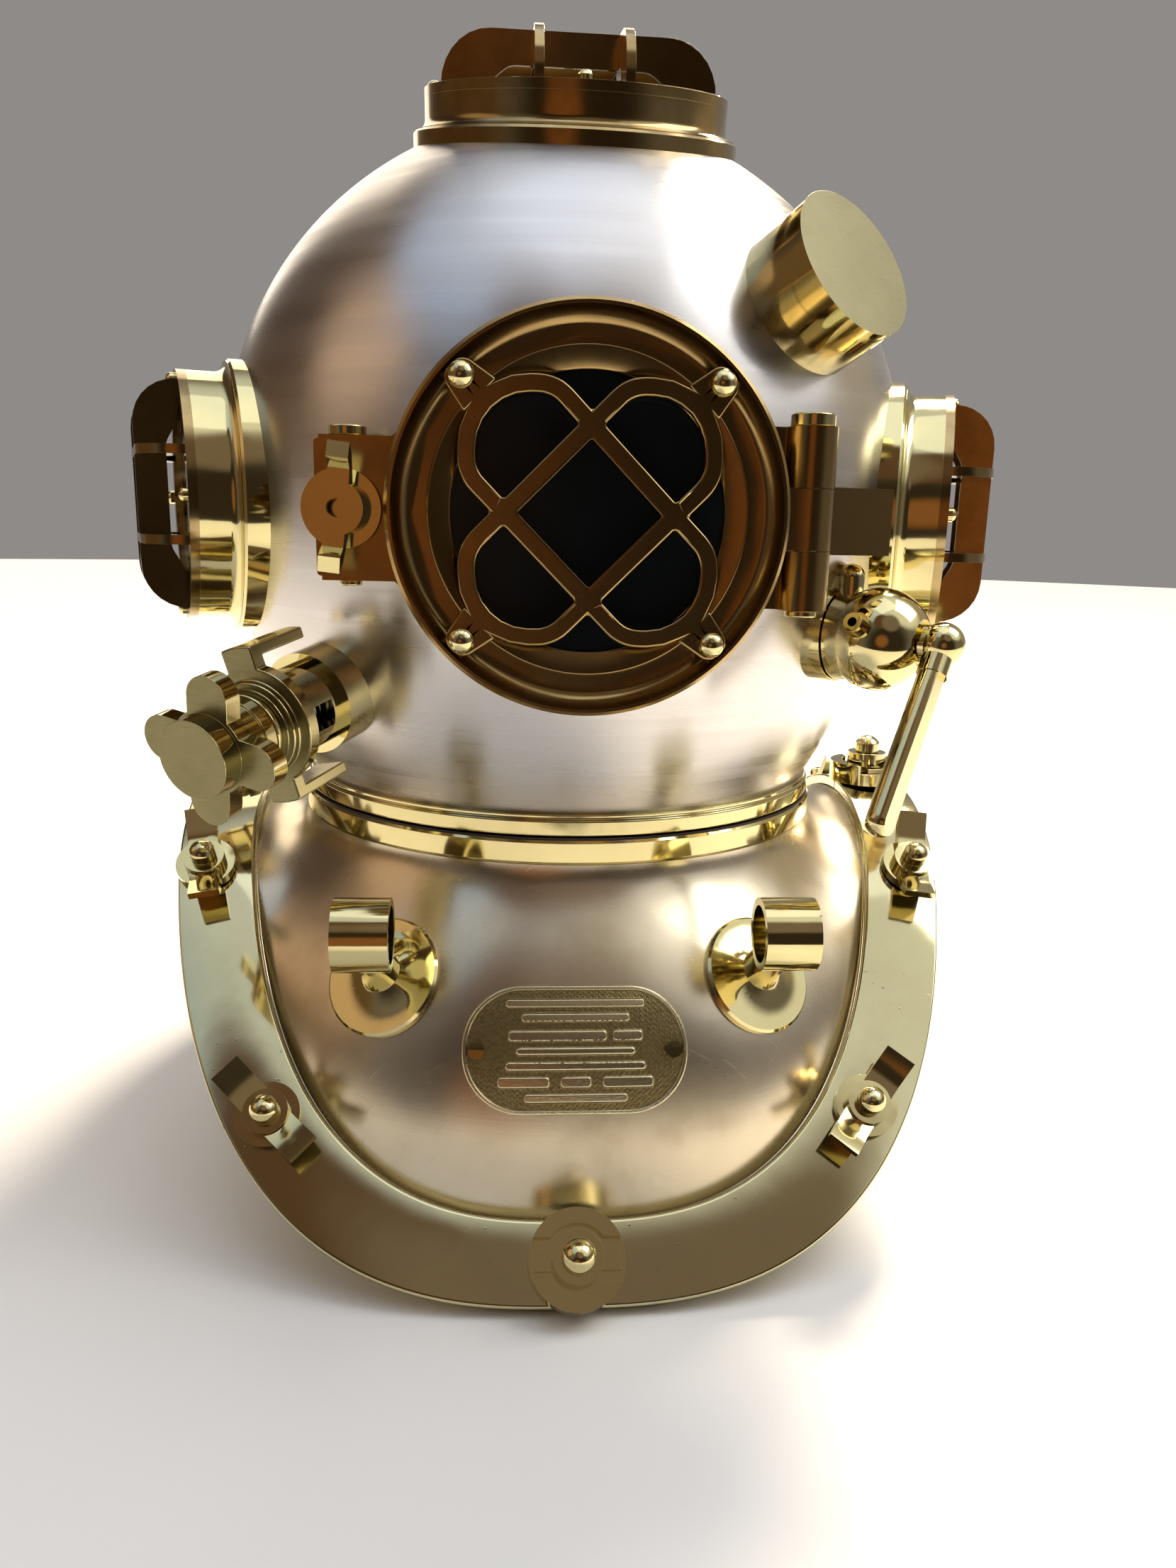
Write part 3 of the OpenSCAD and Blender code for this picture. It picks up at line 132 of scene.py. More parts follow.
area_light("window", 150, 50, 2.0, 0.6, 88, "#FFEFD6")
area_light("window_left", -165, 35, 2.2, 1.4, 12, "#FFF2DE")
area_light("sky_right", 80, 47, 1.7, 1.0, 11, "#FFFFFF")
area_light("sky_top", 30, 82, 1.8, 1.2, 3, "#E6EEFF")
bpy.context.scene.view_settings.view_transform = "Standard"

# The room by direction, as the polished bonnet shows it: azimuth, elevation, half width and soft edge
# in degrees, and colour. Brown on the left, dark behind the camera, bluish above, white on the right.
world = bpy.data.worlds.new("room")
bpy.context.scene.world = world
world.use_nodes = True
t = world.node_tree
t.nodes.clear()
heading = add(t, "TexCoord", out=0)
room = "#7C7673"
for az, el, reach, edge, colour in ((150, 10, 20, 40, "#98948F"), (-98, 5, 28, 25, "#6E563C"),
                                    (-125, 38, 12, 18, "#54443A"), (-80, 32, 8, 14, "#E0BE9C"),
                                    (0, -5, 30, 30, "#382F26"), (-52, 68, 22, 8, "#B8CDEB"),
                                    (40, 84, 18, 28, "#E9F0FC"), (110, 30, 12, 16, "#B5A68A"),
                                    (72, 52, 24, 14, "#FFFFFF"), (-14, 45, 13, 5, "#664C3A"),
                                    (10, 41, 13, 9, "#86766A"), (-12, 1, 7, 10, "#94623A")):
    near = add(t, "VectorMath", {0: heading, 1: tuple(direction(az, el))}, 1, operation="DOT_PRODUCT")
    share = add(t, "MapRange", {"Value": near, "From Min": math.cos(math.radians(reach + edge)),
                                "From Max": math.cos(math.radians(reach))}, interpolation_type="SMOOTHSTEP")
    room = add(t, "Mix", {0: share, 6: room, 7: colour}, 2, data_type="RGBA")
# what the camera sees past the object is a plain grey backdrop
room = add(t, "Mix", {0: add(t, "LightPath"), 6: room, 7: "#8F8B88"}, 2, data_type="RGBA")
add(t, "OutputWorld", {"Surface": add(t, "Background", {"Color": room, "Strength": 1.0})})


def new_material(name):
    """An empty material and its node tree."""
    m = bpy.data.materials.new(name)
    m.use_nodes = True
    m.node_tree.nodes.clear()
    return m, m.node_tree


def grid_mesh(name, p, close_u=False, close_v=False, uv=None, caps=False):
    """Quads over a grid of points p[i, j] in metres. A closed direction joins its last row to its first,
    and caps closes the two end rows of u with one face each. uv is a grid of the same shape."""
    n, m = p.shape[:2]
    i = np.arange(n if close_u else n - 1)
    j = np.arange(m if close_v else m - 1)
    a, b = np.meshgrid(i, j, indexing="ij")
    a2, b2 = (a + 1) % n, (b + 1) % m
    quads = np.stack([a * m + b, a2 * m + b, a2 * m + b2, a * m + b2], -1).reshape(-1, 4)
    sides = np.full(len(quads), 4)
    loops = quads.reshape(-1)
    if caps:
        loops = np.concatenate([loops, np.arange(m), (n - 1) * m + np.arange(m)[::-1]])
        sides = np.concatenate([sides, [m, m]])
    mesh = bpy.data.meshes.new(name)
    mesh.vertices.add(n * m)
    mesh.vertices.foreach_set("co", p.reshape(-1).astype(np.float32))
    mesh.loops.add(len(loops))
    mesh.loops.foreach_set("vertex_index", loops.astype(np.int32))
    mesh.polygons.add(len(sides))
    mesh.polygons.foreach_set("loop_start", np.concatenate([[0], np.cumsum(sides)[:-1]]).astype(np.int32))
    mesh.update()
    if uv is not None:
        layer = mesh.uv_layers.new(name="spin")
        layer.data.foreach_set("uv", uv.reshape(-1, 2)[loops].reshape(-1).astype(np.float32))
    return mesh


def put(name, mesh, *materials, smooth=35.0, merge=2e-6):
    """Merges doubles, turns the faces outwards, shades smooth but over sharp edges, and links the piece."""
    bm = bmesh.new()
    bm.from_mesh(mesh)
    bmesh.ops.remove_doubles(bm, verts=bm.verts, dist=merge)
    bmesh.ops.dissolve_degenerate(bm, edges=bm.edges, dist=1e-7)
    bmesh.ops.recalc_face_normals(bm, faces=bm.faces)
    bm.to_mesh(mesh)
    bm.free()
    mesh.polygons.foreach_set("use_smooth", np.ones(len(mesh.polygons), bool))
    mesh.set_sharp_from_angle(angle=math.radians(smooth))
    for m in materials:
        mesh.materials.append(m)
    ob = bpy.data.objects.new(name, mesh)
    bpy.context.scene.collection.objects.link(ob)
    return ob


# painted table top: matt, with faint clouds; its front edge is behind the camera
floor_paint, t = new_material("pale_floor_paint")
clouds = add(t, "TexNoise", {"Vector": add(t, "TexCoord", out=3), "Scale": 6.0})
tone = add(t, "Mix", {0: clouds, 6: "#F4F2EF", 7: "#ECEBEA"}, 2, data_type="RGBA")
add(t, "OutputMaterial", {"Surface": add(t, "BsdfPrincipled", {"Base Color": tone, "Roughness": 0.6})})

FLAT_R, FLOOR_DROP, FRONT_SHARE = 1.9, 0.0002, 0.32
r = np.concatenate([[0.001], np.linspace(0.3, FLAT_R, 9), np.linspace(1.98, 2.4, 8)])
a = np.linspace(0, 2 * math.pi, 97)[:-1]
curl = np.where(r < FLAT_R, 0.0, 0.7 * (r - FLAT_R) ** 2)
back = (np.sin(a) > 0)[:, None]
floor_grid = np.stack([np.outer(np.cos(a), r), np.where(back, 1.0, FRONT_SHARE) * np.outer(np.sin(a), r),
                       np.outer(np.clip(3 * np.sin(a), 0, 1), curl) - FLOOR_DROP], -1)
floor = put("floor", grid_mesh("floor", floor_grid, close_u=True), floor_paint)
floor_up = np.empty(len(floor.data.polygons) * 3)
floor.data.polygons.foreach_get("normal", floor_up)
if floor_up[2::3].sum() < 0:
    floor.data.flip_normals()


# Breastplate. Sheet copper hammered over a form and tinned, 2.4 mm thick. It flares from the neck ring
# down to the squared oval of the flange, and hand planishing left it slightly wavy and scratched.
HALF_W, HALF_D, BAND_W, BAND_D, SQUARENESS = 174.0, 198.0, 32.0, 21.5, 2.7
ARCH_R, ARCH_SLOPE, ARCH_Z = 120.0, math.radians(46.5), 39.0
BRAIL_T, FLANGE_T, GAP = 5.5, 3.0, 0.3
SHELL_TOP_R, SHELL_TOP_Z, SHELL_T = 122.5, 150.5, 2.4


def oval(a, half_w, half_d):
    """Radius at the polar angle a of the squared oval |x/w|^n + |y/d|^n = 1."""
    x, y = np.abs(np.cos(a) / half_w), np.abs(np.sin(a) / half_d)
    return (x ** SQUARENESS + y ** SQUARENESS) ** (-1 / SQUARENESS)


def arch(y):
    """Height and lean of the shoulder arch at y: a circle about the x axis, with straight slopes after it."""
    s, c = math.sin(ARCH_SLOPE), math.cos(ARCH_SLOPE)
    bow = np.abs(y) < ARCH_R * s
    z = ARCH_Z + np.where(bow, np.sqrt(np.maximum(ARCH_R ** 2 - y * y, 0)), (ARCH_R - np.abs(y) * s) / c)
    return z, np.where(bow, np.arcsin(np.clip(y / ARCH_R, -1, 1)), np.sign(y) * ARCH_SLOPE)


def on_arch(a, half_w, half_d, depth):
    """Point of an oval dropped on the arch, a depth under its top and square to it."""
    radius = oval(a, half_w, half_d)
    y = radius * np.sin(a)
    z, lean = arch(y)
    return np.stack([radius * np.cos(a), y - depth * np.sin(lean), z - depth * np.cos(lean)], -1)


def shell_at(a, s, skin=0.0):
    """Breastplate surface at the polar angle a: a cubic Bezier from the neck, s = 0, to the flange, s = 1."""
    foot = on_arch(a, HALF_W - BAND_W - GAP, HALF_D - BAND_D - GAP, BRAIL_T)
    er, ez = np.hypot(foot[..., 0], foot[..., 1]), foot[..., 2]
    dx, dy = foot[..., 0] / er, foot[..., 1] / er
    w = np.abs(dy) ** 1.5
    rad = [SHELL_TOP_R - skin, SHELL_TOP_R - skin, er - 3 - 1.5 * w - 0.9 * skin,
           er - (0.75 + 0.45 * w) * skin]
    hgt = [SHELL_TOP_Z, SHELL_TOP_Z - 8 - 14 * w - skin / 2,
           ez + 0.74 * (SHELL_TOP_Z - ez) * w - 6 * (1 - w) - 0.9 * skin, ez - (1.1 - 0.4 * w) * skin]
    k = [(1 - s) ** 3, 3 * s * (1 - s) ** 2, 3 * s * s * (1 - s), s ** 3]
    radius = sum(k[i] * rad[i] for i in range(4))
    return np.stack([radius * dx, radius * dy, sum(k[i] * hgt[i] for i in range(4))], -1)


# tinned copper, planished and polished: soft silver with a warm cast, long faint hammer waves 40 mm
# across and fine scratches; it gives broad, slightly broken reflections
tinned_planished, t = new_material("tinned_copper_planished")
here = add(t, "TexCoord", out=3)
waves = add(t, "TexNoise", {"Vector": here, "Scale": 25.0, "Detail": 1.0, "Distortion": 0.4})
clouds = add(t, "TexNoise", {"Vector": here, "Scale": 14.0, "Detail": 5.0, "Roughness": 0.6})
spun = add(t, "UVMap", uv_map="spin")
lines = add(t, "TexNoise", {"Vector": add(t, "Mapping", {"Vector": spun, "Scale": (900.0, 9.0, 1.0)}),
                            "Scale": 1.0, "Detail": 4.0})
turned = add(t, "Mapping", {"Vector": here, "Rotation": (0.4, 0.9, 0.3), "Scale": (40.0, 1500.0, 60.0)})
scratches = add(t, "TexNoise", {"Vector": turned, "Scale": 1.0, "Detail": 2.0})
hair = add(t, "MapRange", {"Value": scratches, "From Min": 0.66, "From Max": 0.76})
tint = add(t, "Mix", {0: clouds, 6: "#DFD4BC", 7: "#C9BA9C"}, 2, data_type="RGBA")
dull = add(t, "MapRange", {"Value": clouds, "From Min": 0.58, "From Max": 0.75})
tint = add(t, "Mix", {0: dull, 6: tint, 7: "#BDAC8C"}, 2, data_type="RGBA")
rough = add(t, "MapRange", {"Value": clouds, "From Min": 0.3, "From Max": 0.7,
                             "To Min": 0.2, "To Max": 0.33})
hair_rough = add(t, "Math", {0: hair, 1: 0.07}, operation="MULTIPLY")
rough = add(t, "Math", {0: rough, 1: hair_rough}, operation="ADD")
bump = add(t, "Bump", {"Height": waves, "Strength": 0.5, "Distance": 0.0012})
bump = add(t, "Bump", {"Height": lines, "Strength": 0.25, "Distance": 0.00004, "Normal": bump})
bump = add(t, "Bump", {"Height": hair, "Strength": 0.15, "Distance": 0.00003, "Normal": bump})
along = add(t, "Tangent", direction_type="UV_MAP", uv_map="spin")
add(t, "OutputMaterial", {"Surface": add(t, "BsdfPrincipled", {
    "Base Color": tint, "Metallic": 1.0, "Roughness": rough, "Normal": bump, "Anisotropic": 0.35,
    "Tangent": along})})


def finish_piece(ob, body, slot, *stands_for):
    """Puts the piece on the body that carries it and hides the solids it replaces; slot, what it is made of,
    is not used.
    """
    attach(ob, body)
    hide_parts(*stands_for)
    return ob


def lengths(p):
    """Distance run along the second direction of a grid, from its first column."""
    step = np.linalg.norm(np.diff(p, axis=1), axis=-1)
    return np.concatenate([np.zeros((len(p), 1)), np.cumsum(step, 1)], 1)


a = np.linspace(0, 2 * math.pi, 361)[:, None]
s = np.linspace(0, 1, 41)[None, :]
skins = [shell_at(a, s), shell_at(a, s[:, ::-1], SHELL_T)]
wall_grid = np.concatenate(skins, 1) * MM
wall_uv = np.stack([lengths(wall_grid), np.broadcast_to(a * 0.15, wall_grid.shape[:2])], -1)
breastplate = put("breastplate_spun_shell", grid_mesh("breastplate", wall_grid, close_v=True, uv=wall_uv),
                  tinned_planished)
finish_piece(breastplate, "breastplate", "tinned_copper", "breastplate_shell")

# Flange and brails. A rolled brass flange riveted to the shell carries the suit collar, and four cast
# brass brails clamp the collar on it; their edges are filed round and their faces polished.
EDGE = 1.1


def band_section(top, bottom, edge, steps=5):
    """Closed section of a band across its width: (share of the width, outward shift, depth), edges round."""
    q = np.linspace(0, math.pi / 2, steps)
    low = min(edge, (bottom - top) / 2 - 0.05)
    corners = [(0, -edge * (1 - np.cos(q)), top + edge * (1 - np.sin(q))),
               (1, edge * (1 - np.cos(q[::-1])), top + edge * (1 - np.sin(q[::-1]))),
               (1, low * (1 - np.cos(q)), bottom - low * (1 - np.sin(q))),
               (0, -low * (1 - np.cos(q[::-1])), bottom - low * (1 - np.sin(q[::-1])))]
    return np.concatenate([np.stack([np.full(steps, f), off, dep], -1) for f, off, dep in corners])


def band(a, section, gap=0.0):
    """The section carried round the oval on the arch."""
    f, off, dep = section[None, :, 0], section[None, :, 1], section[None, :, 2]
    half_w = HALF_W - (BAND_W - gap) * f + off
    half_d = HALF_D - (BAND_D - gap) * f + off
    return on_arch(a[:, None], half_w, half_d, dep)


# cast brass, polished: pale yellow, with 20 mm waves left by hand polishing, darker clouds of light
# tarnish and a few pits
polished_brass, t = new_material("polished_cast_brass")
here = add(t, "TexCoord", out=3)
waves = add(t, "TexNoise", {"Vector": here, "Scale": 45.0, "Detail": 1.5})
clouds = add(t, "TexNoise", {"Vector": here, "Scale": 30.0, "Detail": 6.0, "Roughness": 0.65})
grains = add(t, "TexNoise", {"Vector": here, "Scale": 900.0, "Detail": 2.0})
tint = add(t, "Mix", {0: clouds, 6: "#DDD29E", 7: "#C7B985"}, 2, data_type="RGBA")
rough = add(t, "MapRange", {"Value": clouds, "From Min": 0.3, "From Max": 0.7,
                             "To Min": 0.05, "To Max": 0.12})
bump = add(t, "Bump", {"Height": waves, "Strength": 0.35, "Distance": 0.0006})
bump = add(t, "Bump", {"Height": grains, "Strength": 0.04, "Distance": 0.00003, "Normal": bump})
add(t, "OutputMaterial", {"Surface": add(t, "BsdfPrincipled", {
    "Base Color": tint, "Metallic": 1.0, "Roughness": rough, "Normal": bump})})

# cast brass, handled: greenish where the lacquer has gone, dark specks 2 to 4 mm across, duller
handled_brass, t = new_material("handled_cast_brass")
here = add(t, "TexCoord", out=3)
waves = add(t, "TexNoise", {"Vector": here, "Scale": 30.0, "Detail": 2.0})
clouds = add(t, "TexNoise", {"Vector": here, "Scale": 22.0, "Detail": 6.0, "Roughness": 0.7})
specks = add(t, "TexNoise", {"Vector": here, "Scale": 260.0, "Detail": 3.0, "Roughness": 0.7})
spots = add(t, "MapRange", {"Value": specks, "From Min": 0.66, "From Max": 0.76})
where = add(t, "MapRange", {"Value": clouds, "From Min": 0.5, "From Max": 0.62})
spots = add(t, "Math", {0: spots, 1: where}, operation="MULTIPLY")
tint = add(t, "Mix", {0: clouds, 6: "#D3CCA2", 7: "#B8AE86"}, 2, data_type="RGBA")
tint = add(t, "Mix", {0: spots, 6: tint, 7: "#5C4A2A"}, 2, data_type="RGBA")
rough = add(t, "MapRange", {"Value": clouds, "From Min": 0.3, "From Max": 0.7,
                             "To Min": 0.05, "To Max": 0.12})
bump = add(t, "Bump", {"Height": waves, "Strength": 0.3, "Distance": 0.0005})
bump = add(t, "Bump", {"Height": spots, "Strength": 0.4, "Distance": 0.0001, "Normal": bump,
                       "Filter Width": 0.1})
add(t, "OutputMaterial", {"Surface": add(t, "BsdfPrincipled", {
    "Base Color": tint, "Metallic": 1.0, "Roughness": rough, "Normal": bump})})

flange_grid = band(np.linspace(0, 2 * math.pi, 361), band_section(BRAIL_T + 0.15, BRAIL_T + FLANGE_T, 0.9))
flange_grid[..., 2] = np.maximum(flange_grid[..., 2], 0)
flange = put("collar_flange", grid_mesh("flange", flange_grid * MM, close_v=True), handled_brass)
finish_piece(flange, "breastplate", "brass", "breastplate_flange")

JOINT_HALF = 0.75
for name, start, end in (("front_left", 180, 270), ("front_right", 270, 360), ("rear_right", 0, 90),
                         ("rear_left", 90, 180)):
    gap = np.degrees(JOINT_HALF / np.where(np.array([start, end]) % 180 == 0, HALF_W, HALF_D))
    a = np.radians(np.linspace(start + gap[0], end - gap[1], 91))
    brail_grid = band(a, band_section(0, BRAIL_T, EDGE), GAP)
    brail = put("brail_" + name + "_cast", grid_mesh("brail", brail_grid * MM, close_v=True, caps=True),
                handled_brass)
    finish_piece(brail, "breastplate", "brass", "brail_" + name)


# Neck joint. Two turned brass rings with bayonet lugs, and a leather washer between them that shows as
# a dark line. Their tool marks run round them.
slot_of = {p["node"]: p["material_slot"] for p in frame["record"]["subparts"]}
body_of = {n: body for body, members in frame["record"]["behaviour"]["bodies"].items() for n in members}


def dress(node, *materials, edge=0.4, steps=2, smooth=30.0, flat=0.5, clamp=True, pick=None):
    """A copy of the node's own solid: loose triangles merged, flat faces joined, and edges eased by a
    bevel. pick(centres, normals) in mm gives the number of each face's material."""
    mesh = nodes[node].data.copy()
    mesh.name = node + "_eased"
    mesh.materials.clear()
    bm = bmesh.new()
    bm.from_mesh(mesh)
    bmesh.ops.remove_doubles(bm, verts=bm.verts, dist=1e-6)
    bmesh.ops.dissolve_degenerate(bm, edges=bm.edges, dist=1e-7)
    if flat:
        bmesh.ops.dissolve_limit(bm, angle_limit=math.radians(flat), verts=bm.verts, edges=bm.edges,
                                 delimit={"NORMAL"})
    bm.to_mesh(mesh)
    bm.free()
    for a in list(mesh.attributes):
        if a.name.startswith("custom_normal") or a.name.startswith("sharp"):
            mesh.attributes.remove(a)
    count = len(mesh.polygons)
    mesh.polygons.foreach_set("use_smooth", np.ones(count, bool))
    mesh.set_sharp_from_angle(angle=math.radians(smooth))
    for m in materials:
        mesh.materials.append(m)
    centres, normals = np.empty(count * 3), np.empty(count * 3)
    mesh.polygons.foreach_get("center", centres)
    mesh.polygons.foreach_get("normal", normals)
    kind = pick(centres.reshape(-1, 3) / MM, normals.reshape(-1, 3)) if pick else np.zeros(count)
    mesh.polygons.foreach_set("material_index", np.asarray(kind, np.int32))
    ob = bpy.data.objects.new(node + "_finished", mesh)
    bpy.context.scene.collection.objects.link(ob)
    if edge:
        bevel = ob.modifiers.new("eased_edges", "BEVEL")
        bevel.width = edge * MM
        bevel.segments = steps
        bevel.use_clamp_overlap = clamp
        bevel.limit_method = "ANGLE"
        bevel.angle_limit = math.radians(smooth)
        bevel.harden_normals = True
    return finish_piece(ob, body_of[node], slot_of[node], node)


# greased leather: near black, dull, pebbled at 1 mm
greased_leather, t = new_material("greased_leather")
here = add(t, "TexCoord", out=3)
pebbles = add(t, "TexVoronoi", {"Vector": here, "Scale": 900.0})
tint = add(t, "Mix", {0: pebbles, 6: "#1C130D", 7: "#2B1E14"}, 2, data_type="RGBA")
bump = add(t, "Bump", {"Height": pebbles, "Strength": 0.4, "Distance": 0.0001})
add(t, "OutputMaterial", {"Surface": add(t, "BsdfPrincipled", {
    "Base Color": tint, "Roughness": 0.55, "Normal": bump})})

dress("neck_ring", polished_brass, edge=0.5, steps=3)
dress("bonnet_ring", polished_brass, edge=0.5, steps=3)
dress("neck_gasket", greased_leather, edge=0)

# Studs and nuts. Turned brass studs with domed ends stand through flange and brails; eight carry wing
# nuts and the four at the brail joints carry round nuts with a cross bar. The nuts are sand cast, with
# their tops milled.
# brass, milled: duller and darker, with cutter marks under 1 mm apart
milled_brass, t = new_material("milled_brass")
here = add(t, "TexCoord", out=3)
grain = add(t, "TexNoise", {"Vector": add(t, "Mapping", {"Vector": here, "Scale": (150.0, 150.0, 2500.0)}),
                            "Scale": 1.0, "Detail": 4.0})
clouds = add(t, "TexNoise", {"Vector": here, "Scale": 60.0, "Detail": 5.0})
tint = add(t, "Mix", {0: clouds, 6: "#817B59", 7: "#6D674A"}, 2, data_type="RGBA")
rough = add(t, "MapRange", {"Value": grain, "From Min": 0.3, "From Max": 0.7,
                             "To Min": 0.26, "To Max": 0.4})
bump = add(t, "Bump", {"Height": grain, "Strength": 0.3, "Distance": 0.00006})
add(t, "OutputMaterial", {"Surface": add(t, "BsdfPrincipled", {
    "Base Color": tint, "Metallic": 1.0, "Roughness": rough, "Normal": bump})})

dress("flange_studs", polished_brass, edge=0.3)
for name in frame["bodies"]:
    if name.startswith("nut_"):
        dress(name, polished_brass, edge=0.7, steps=3)

# Lanyard eyes and name plate. The eyes are cast brass tubes on dished feet, soldered to the shell. The
# plate is cast with a rim and a stippled ground, antiqued dark in its hollows; its bars are left blank.
for side in ("left", "right"):
    dress("lanyard_eye_" + side, polished_brass, edge=0.6, steps=3, smooth=38)
dress("plate_rivets", polished_brass, edge=0)

PLATE_A, PLATE_S, PLATE_W, PLATE_H, PLATE_T = math.radians(-90), 0.7, 87.0, 48.5, 2.0
tiny = 1e-3
plate_at = shell_at(np.array(PLATE_A), np.array(PLATE_S))
run = shell_at(np.array(PLATE_A), np.array(PLATE_S + tiny)) - plate_at
turn = shell_at(np.array(PLATE_A + tiny), np.array(PLATE_S)) - plate_at
plate_out = np.cross(run, turn)
plate_out /= np.linalg.norm(plate_out)
plate_x = np.array([1.0, 0.0, 0.0])
plate_up = np.cross(plate_out, plate_x)
sample = shell_at(PLATE_A + np.linspace(-0.36, 0.36, 41)[:, None], np.linspace(0.35, 0.97, 41)[None, :])
sample = sample - plate_at
su, sv, sw = (sample @ plate_x).ravel(), (sample @ plate_up).ravel(), (sample @ plate_out).ravel()
FIT_REACH = 40
powers = [(i, j) for i in range(0, 7, 2) for j in range(7 - i)]
terms = np.stack([(su / FIT_REACH) ** i * (sv / FIT_REACH) ** j for i, j in powers], 1)
fit = np.linalg.lstsq(terms, sw, rcond=None)[0]


def plate_bed(u, v):
    """Height of the shell over the plate's own plane: a polynomial fitted to the shell's formula."""
    return sum(c * (u / FIT_REACH) ** i * (v / FIT_REACH) ** j for c, (i, j) in zip(fit, powers))


def inside(u, v, half_w, half_h, corner):
    """Distance inward from the edge of a rectangle with round corners."""
    qx, qy = np.abs(u) - (half_w - corner), np.abs(v) - (half_h - corner)
    out = np.hypot(np.maximum(qx, 0), np.maximum(qy, 0)) + np.minimum(np.maximum(qx, qy), 0)
    return corner - out


corner = PLATE_H / 2 - 1
across = np.linspace(-1, 1, 171)[None, :]
# the rows stand closer at the long edges, where the rim is rounded
v = (0.35 * np.sin(across * math.pi / 2) + 0.65 * across) * PLATE_H / 2
reach = PLATE_W / 2 - corner + np.sqrt(np.maximum(corner ** 2 - np.maximum(np.abs(v) - 1, 0) ** 2, 0))
u = np.linspace(-1, 1, 291)[:, None] * reach
v = v + 0 * u
rim = np.clip(inside(u, v, PLATE_W / 2, PLATE_H / 2, corner), 0, 9)
raised = 1 - np.clip((rim - 1.5) / 0.5, 0, 1)
# blank bars: (centre, height above the middle, half length, half height)
for cx, cy, hw, hh in ((0, 17.6, 27, 1.7), (0, 12.2, 21, 1.7), (-7, 5.4, 19, 2.1), (20, 5.4, 6, 2.1),
                       (0, -0.4, 23, 1.5), (0, -6, 27, 1.7), (-20, -12, 10, 2.2), (0, -12, 6, 2.2),
                       (20, -12, 10, 2.2), (0, -18, 20, 1.8)):
    raised = np.maximum(raised, np.clip(inside(u - cx, v - cy, hw, hh, min(hh, 1.5)) / 0.45, 0, 1))
stipple = np.sin(5.3 * u + 1.9 * np.sin(2.7 * v)) * np.sin(5.9 * v + 1.6 * np.sin(2.3 * u + 1))
round_edge = 0.5 * (1 - np.sqrt(1 - (1 - np.clip(rim / 0.6, 0, 1)) ** 2))
height = 1.25 + 0.75 * raised + 0.13 * stipple * (1 - raised) * np.clip(rim / 2, 0, 1) - round_edge
skirt = np.full_like(height, -0.15)
bed = plate_bed(u, v)


def on_plate(lift):
    """Points of the plate's grid, raised over the shell under it."""
    return plate_at + u[..., None] * plate_x + v[..., None] * plate_up + (bed + lift)[..., None] * plate_out


top = on_plate(height)
low = on_plate(skirt)
rows = np.concatenate([low[:1], top, low[-1:]], 0)
plate_grid = np.concatenate([np.concatenate([low[:1, :1], low[:, :1], low[-1:, :1]], 0), rows,
                             np.concatenate([low[:1, -1:], low[:, -1:], low[-1:, -1:]], 0)], 1)
shine = np.zeros(plate_grid.shape[:2])
shine[1:-1, 1:-1] = raised
mesh = grid_mesh("name_plate", plate_grid * MM)
mesh.attributes.new("raised", "FLOAT", "POINT").data.foreach_set("value", shine.ravel().astype(np.float32))

# cast brass, antiqued: raised faces rubbed pale, the stippled ground left brown
antiqued_brass, t = new_material("antiqued_cast_brass")
here = add(t, "TexCoord", out=3)
grit = add(t, "TexNoise", {"Vector": here, "Scale": 700.0, "Detail": 4.0, "Roughness": 0.7})
rubbed = add(t, "Attribute", attribute_name="raised", out=2)
rubbed = add(t, "MapRange", {"Value": rubbed, "From Min": 0.35, "From Max": 0.95})
ground = add(t, "Mix", {0: grit, 6: "#5E4E2E", 7: "#B0A071"}, 2, data_type="RGBA")
tint = add(t, "Mix", {0: rubbed, 6: ground, 7: "#DCD3AE"}, 2, data_type="RGBA")
rough = add(t, "MapRange", {"Value": rubbed, "To Min": 0.42, "To Max": 0.24})
bump = add(t, "Bump", {"Height": grit, "Strength": 0.45, "Distance": 0.0002})
add(t, "OutputMaterial", {"Surface": add(t, "BsdfPrincipled", {
    "Base Color": tint, "Metallic": 1.0, "Roughness": rough, "Normal": bump})})

plate = put("name_plate_blank", mesh, antiqued_brass, smooth=60)
finish_piece(plate, "breastplate", "brass", "name_plate")

# Bonnet. Copper spun on a lathe to 3 mm, tinned, and brushed round its axis while it turned, so the
# light runs in streaks down it. Round holes are cut where the door, ports and fittings are soldered on.
BONNET_R, BONNET_Z, BOWL_R, BOWL_C, RING_Z, WALL = 155.0, 299.5, 250.3, -95.3, 171.0, 3.0
CENTRE = np.array([0.0, 0.0, BONNET_Z])
EXHAUST_AT, EXHAUST_AXIS = np.array([-90.0, -93.0, 219.5]), direction(-28, -10)
SPITCOCK_AT, SPITCOCK_AXIS = np.array([93.5, -100.0, 243.2]), direction(47, 0)
CUP_AXIS = direction(36.2, 25.7)
DOOR_Z, SIDE_PORT_Z, ELBOW_Z = 287.5, 291.5, 279.5


def bonnet_profile(s, inset):
    """Radius and height along the spun section: a bowl arc to s = 0.5, then a quarter circle to the pole."""
    low = math.asin((BONNET_Z - RING_Z) / (BOWL_R - inset))
    g = np.where(s < 0.5, -low * (1 - 2 * s), (2 * s - 1) * math.pi / 2)
    bowl = s < 0.5
    radius = np.where(bowl, BOWL_C + (BOWL_R - inset) * np.cos(g), (BONNET_R - inset) * np.cos(g))
    z = BONNET_Z + np.where(bowl, (BOWL_R - inset) * np.sin(g), (BONNET_R - inset) * np.sin(g))
    return radius, z


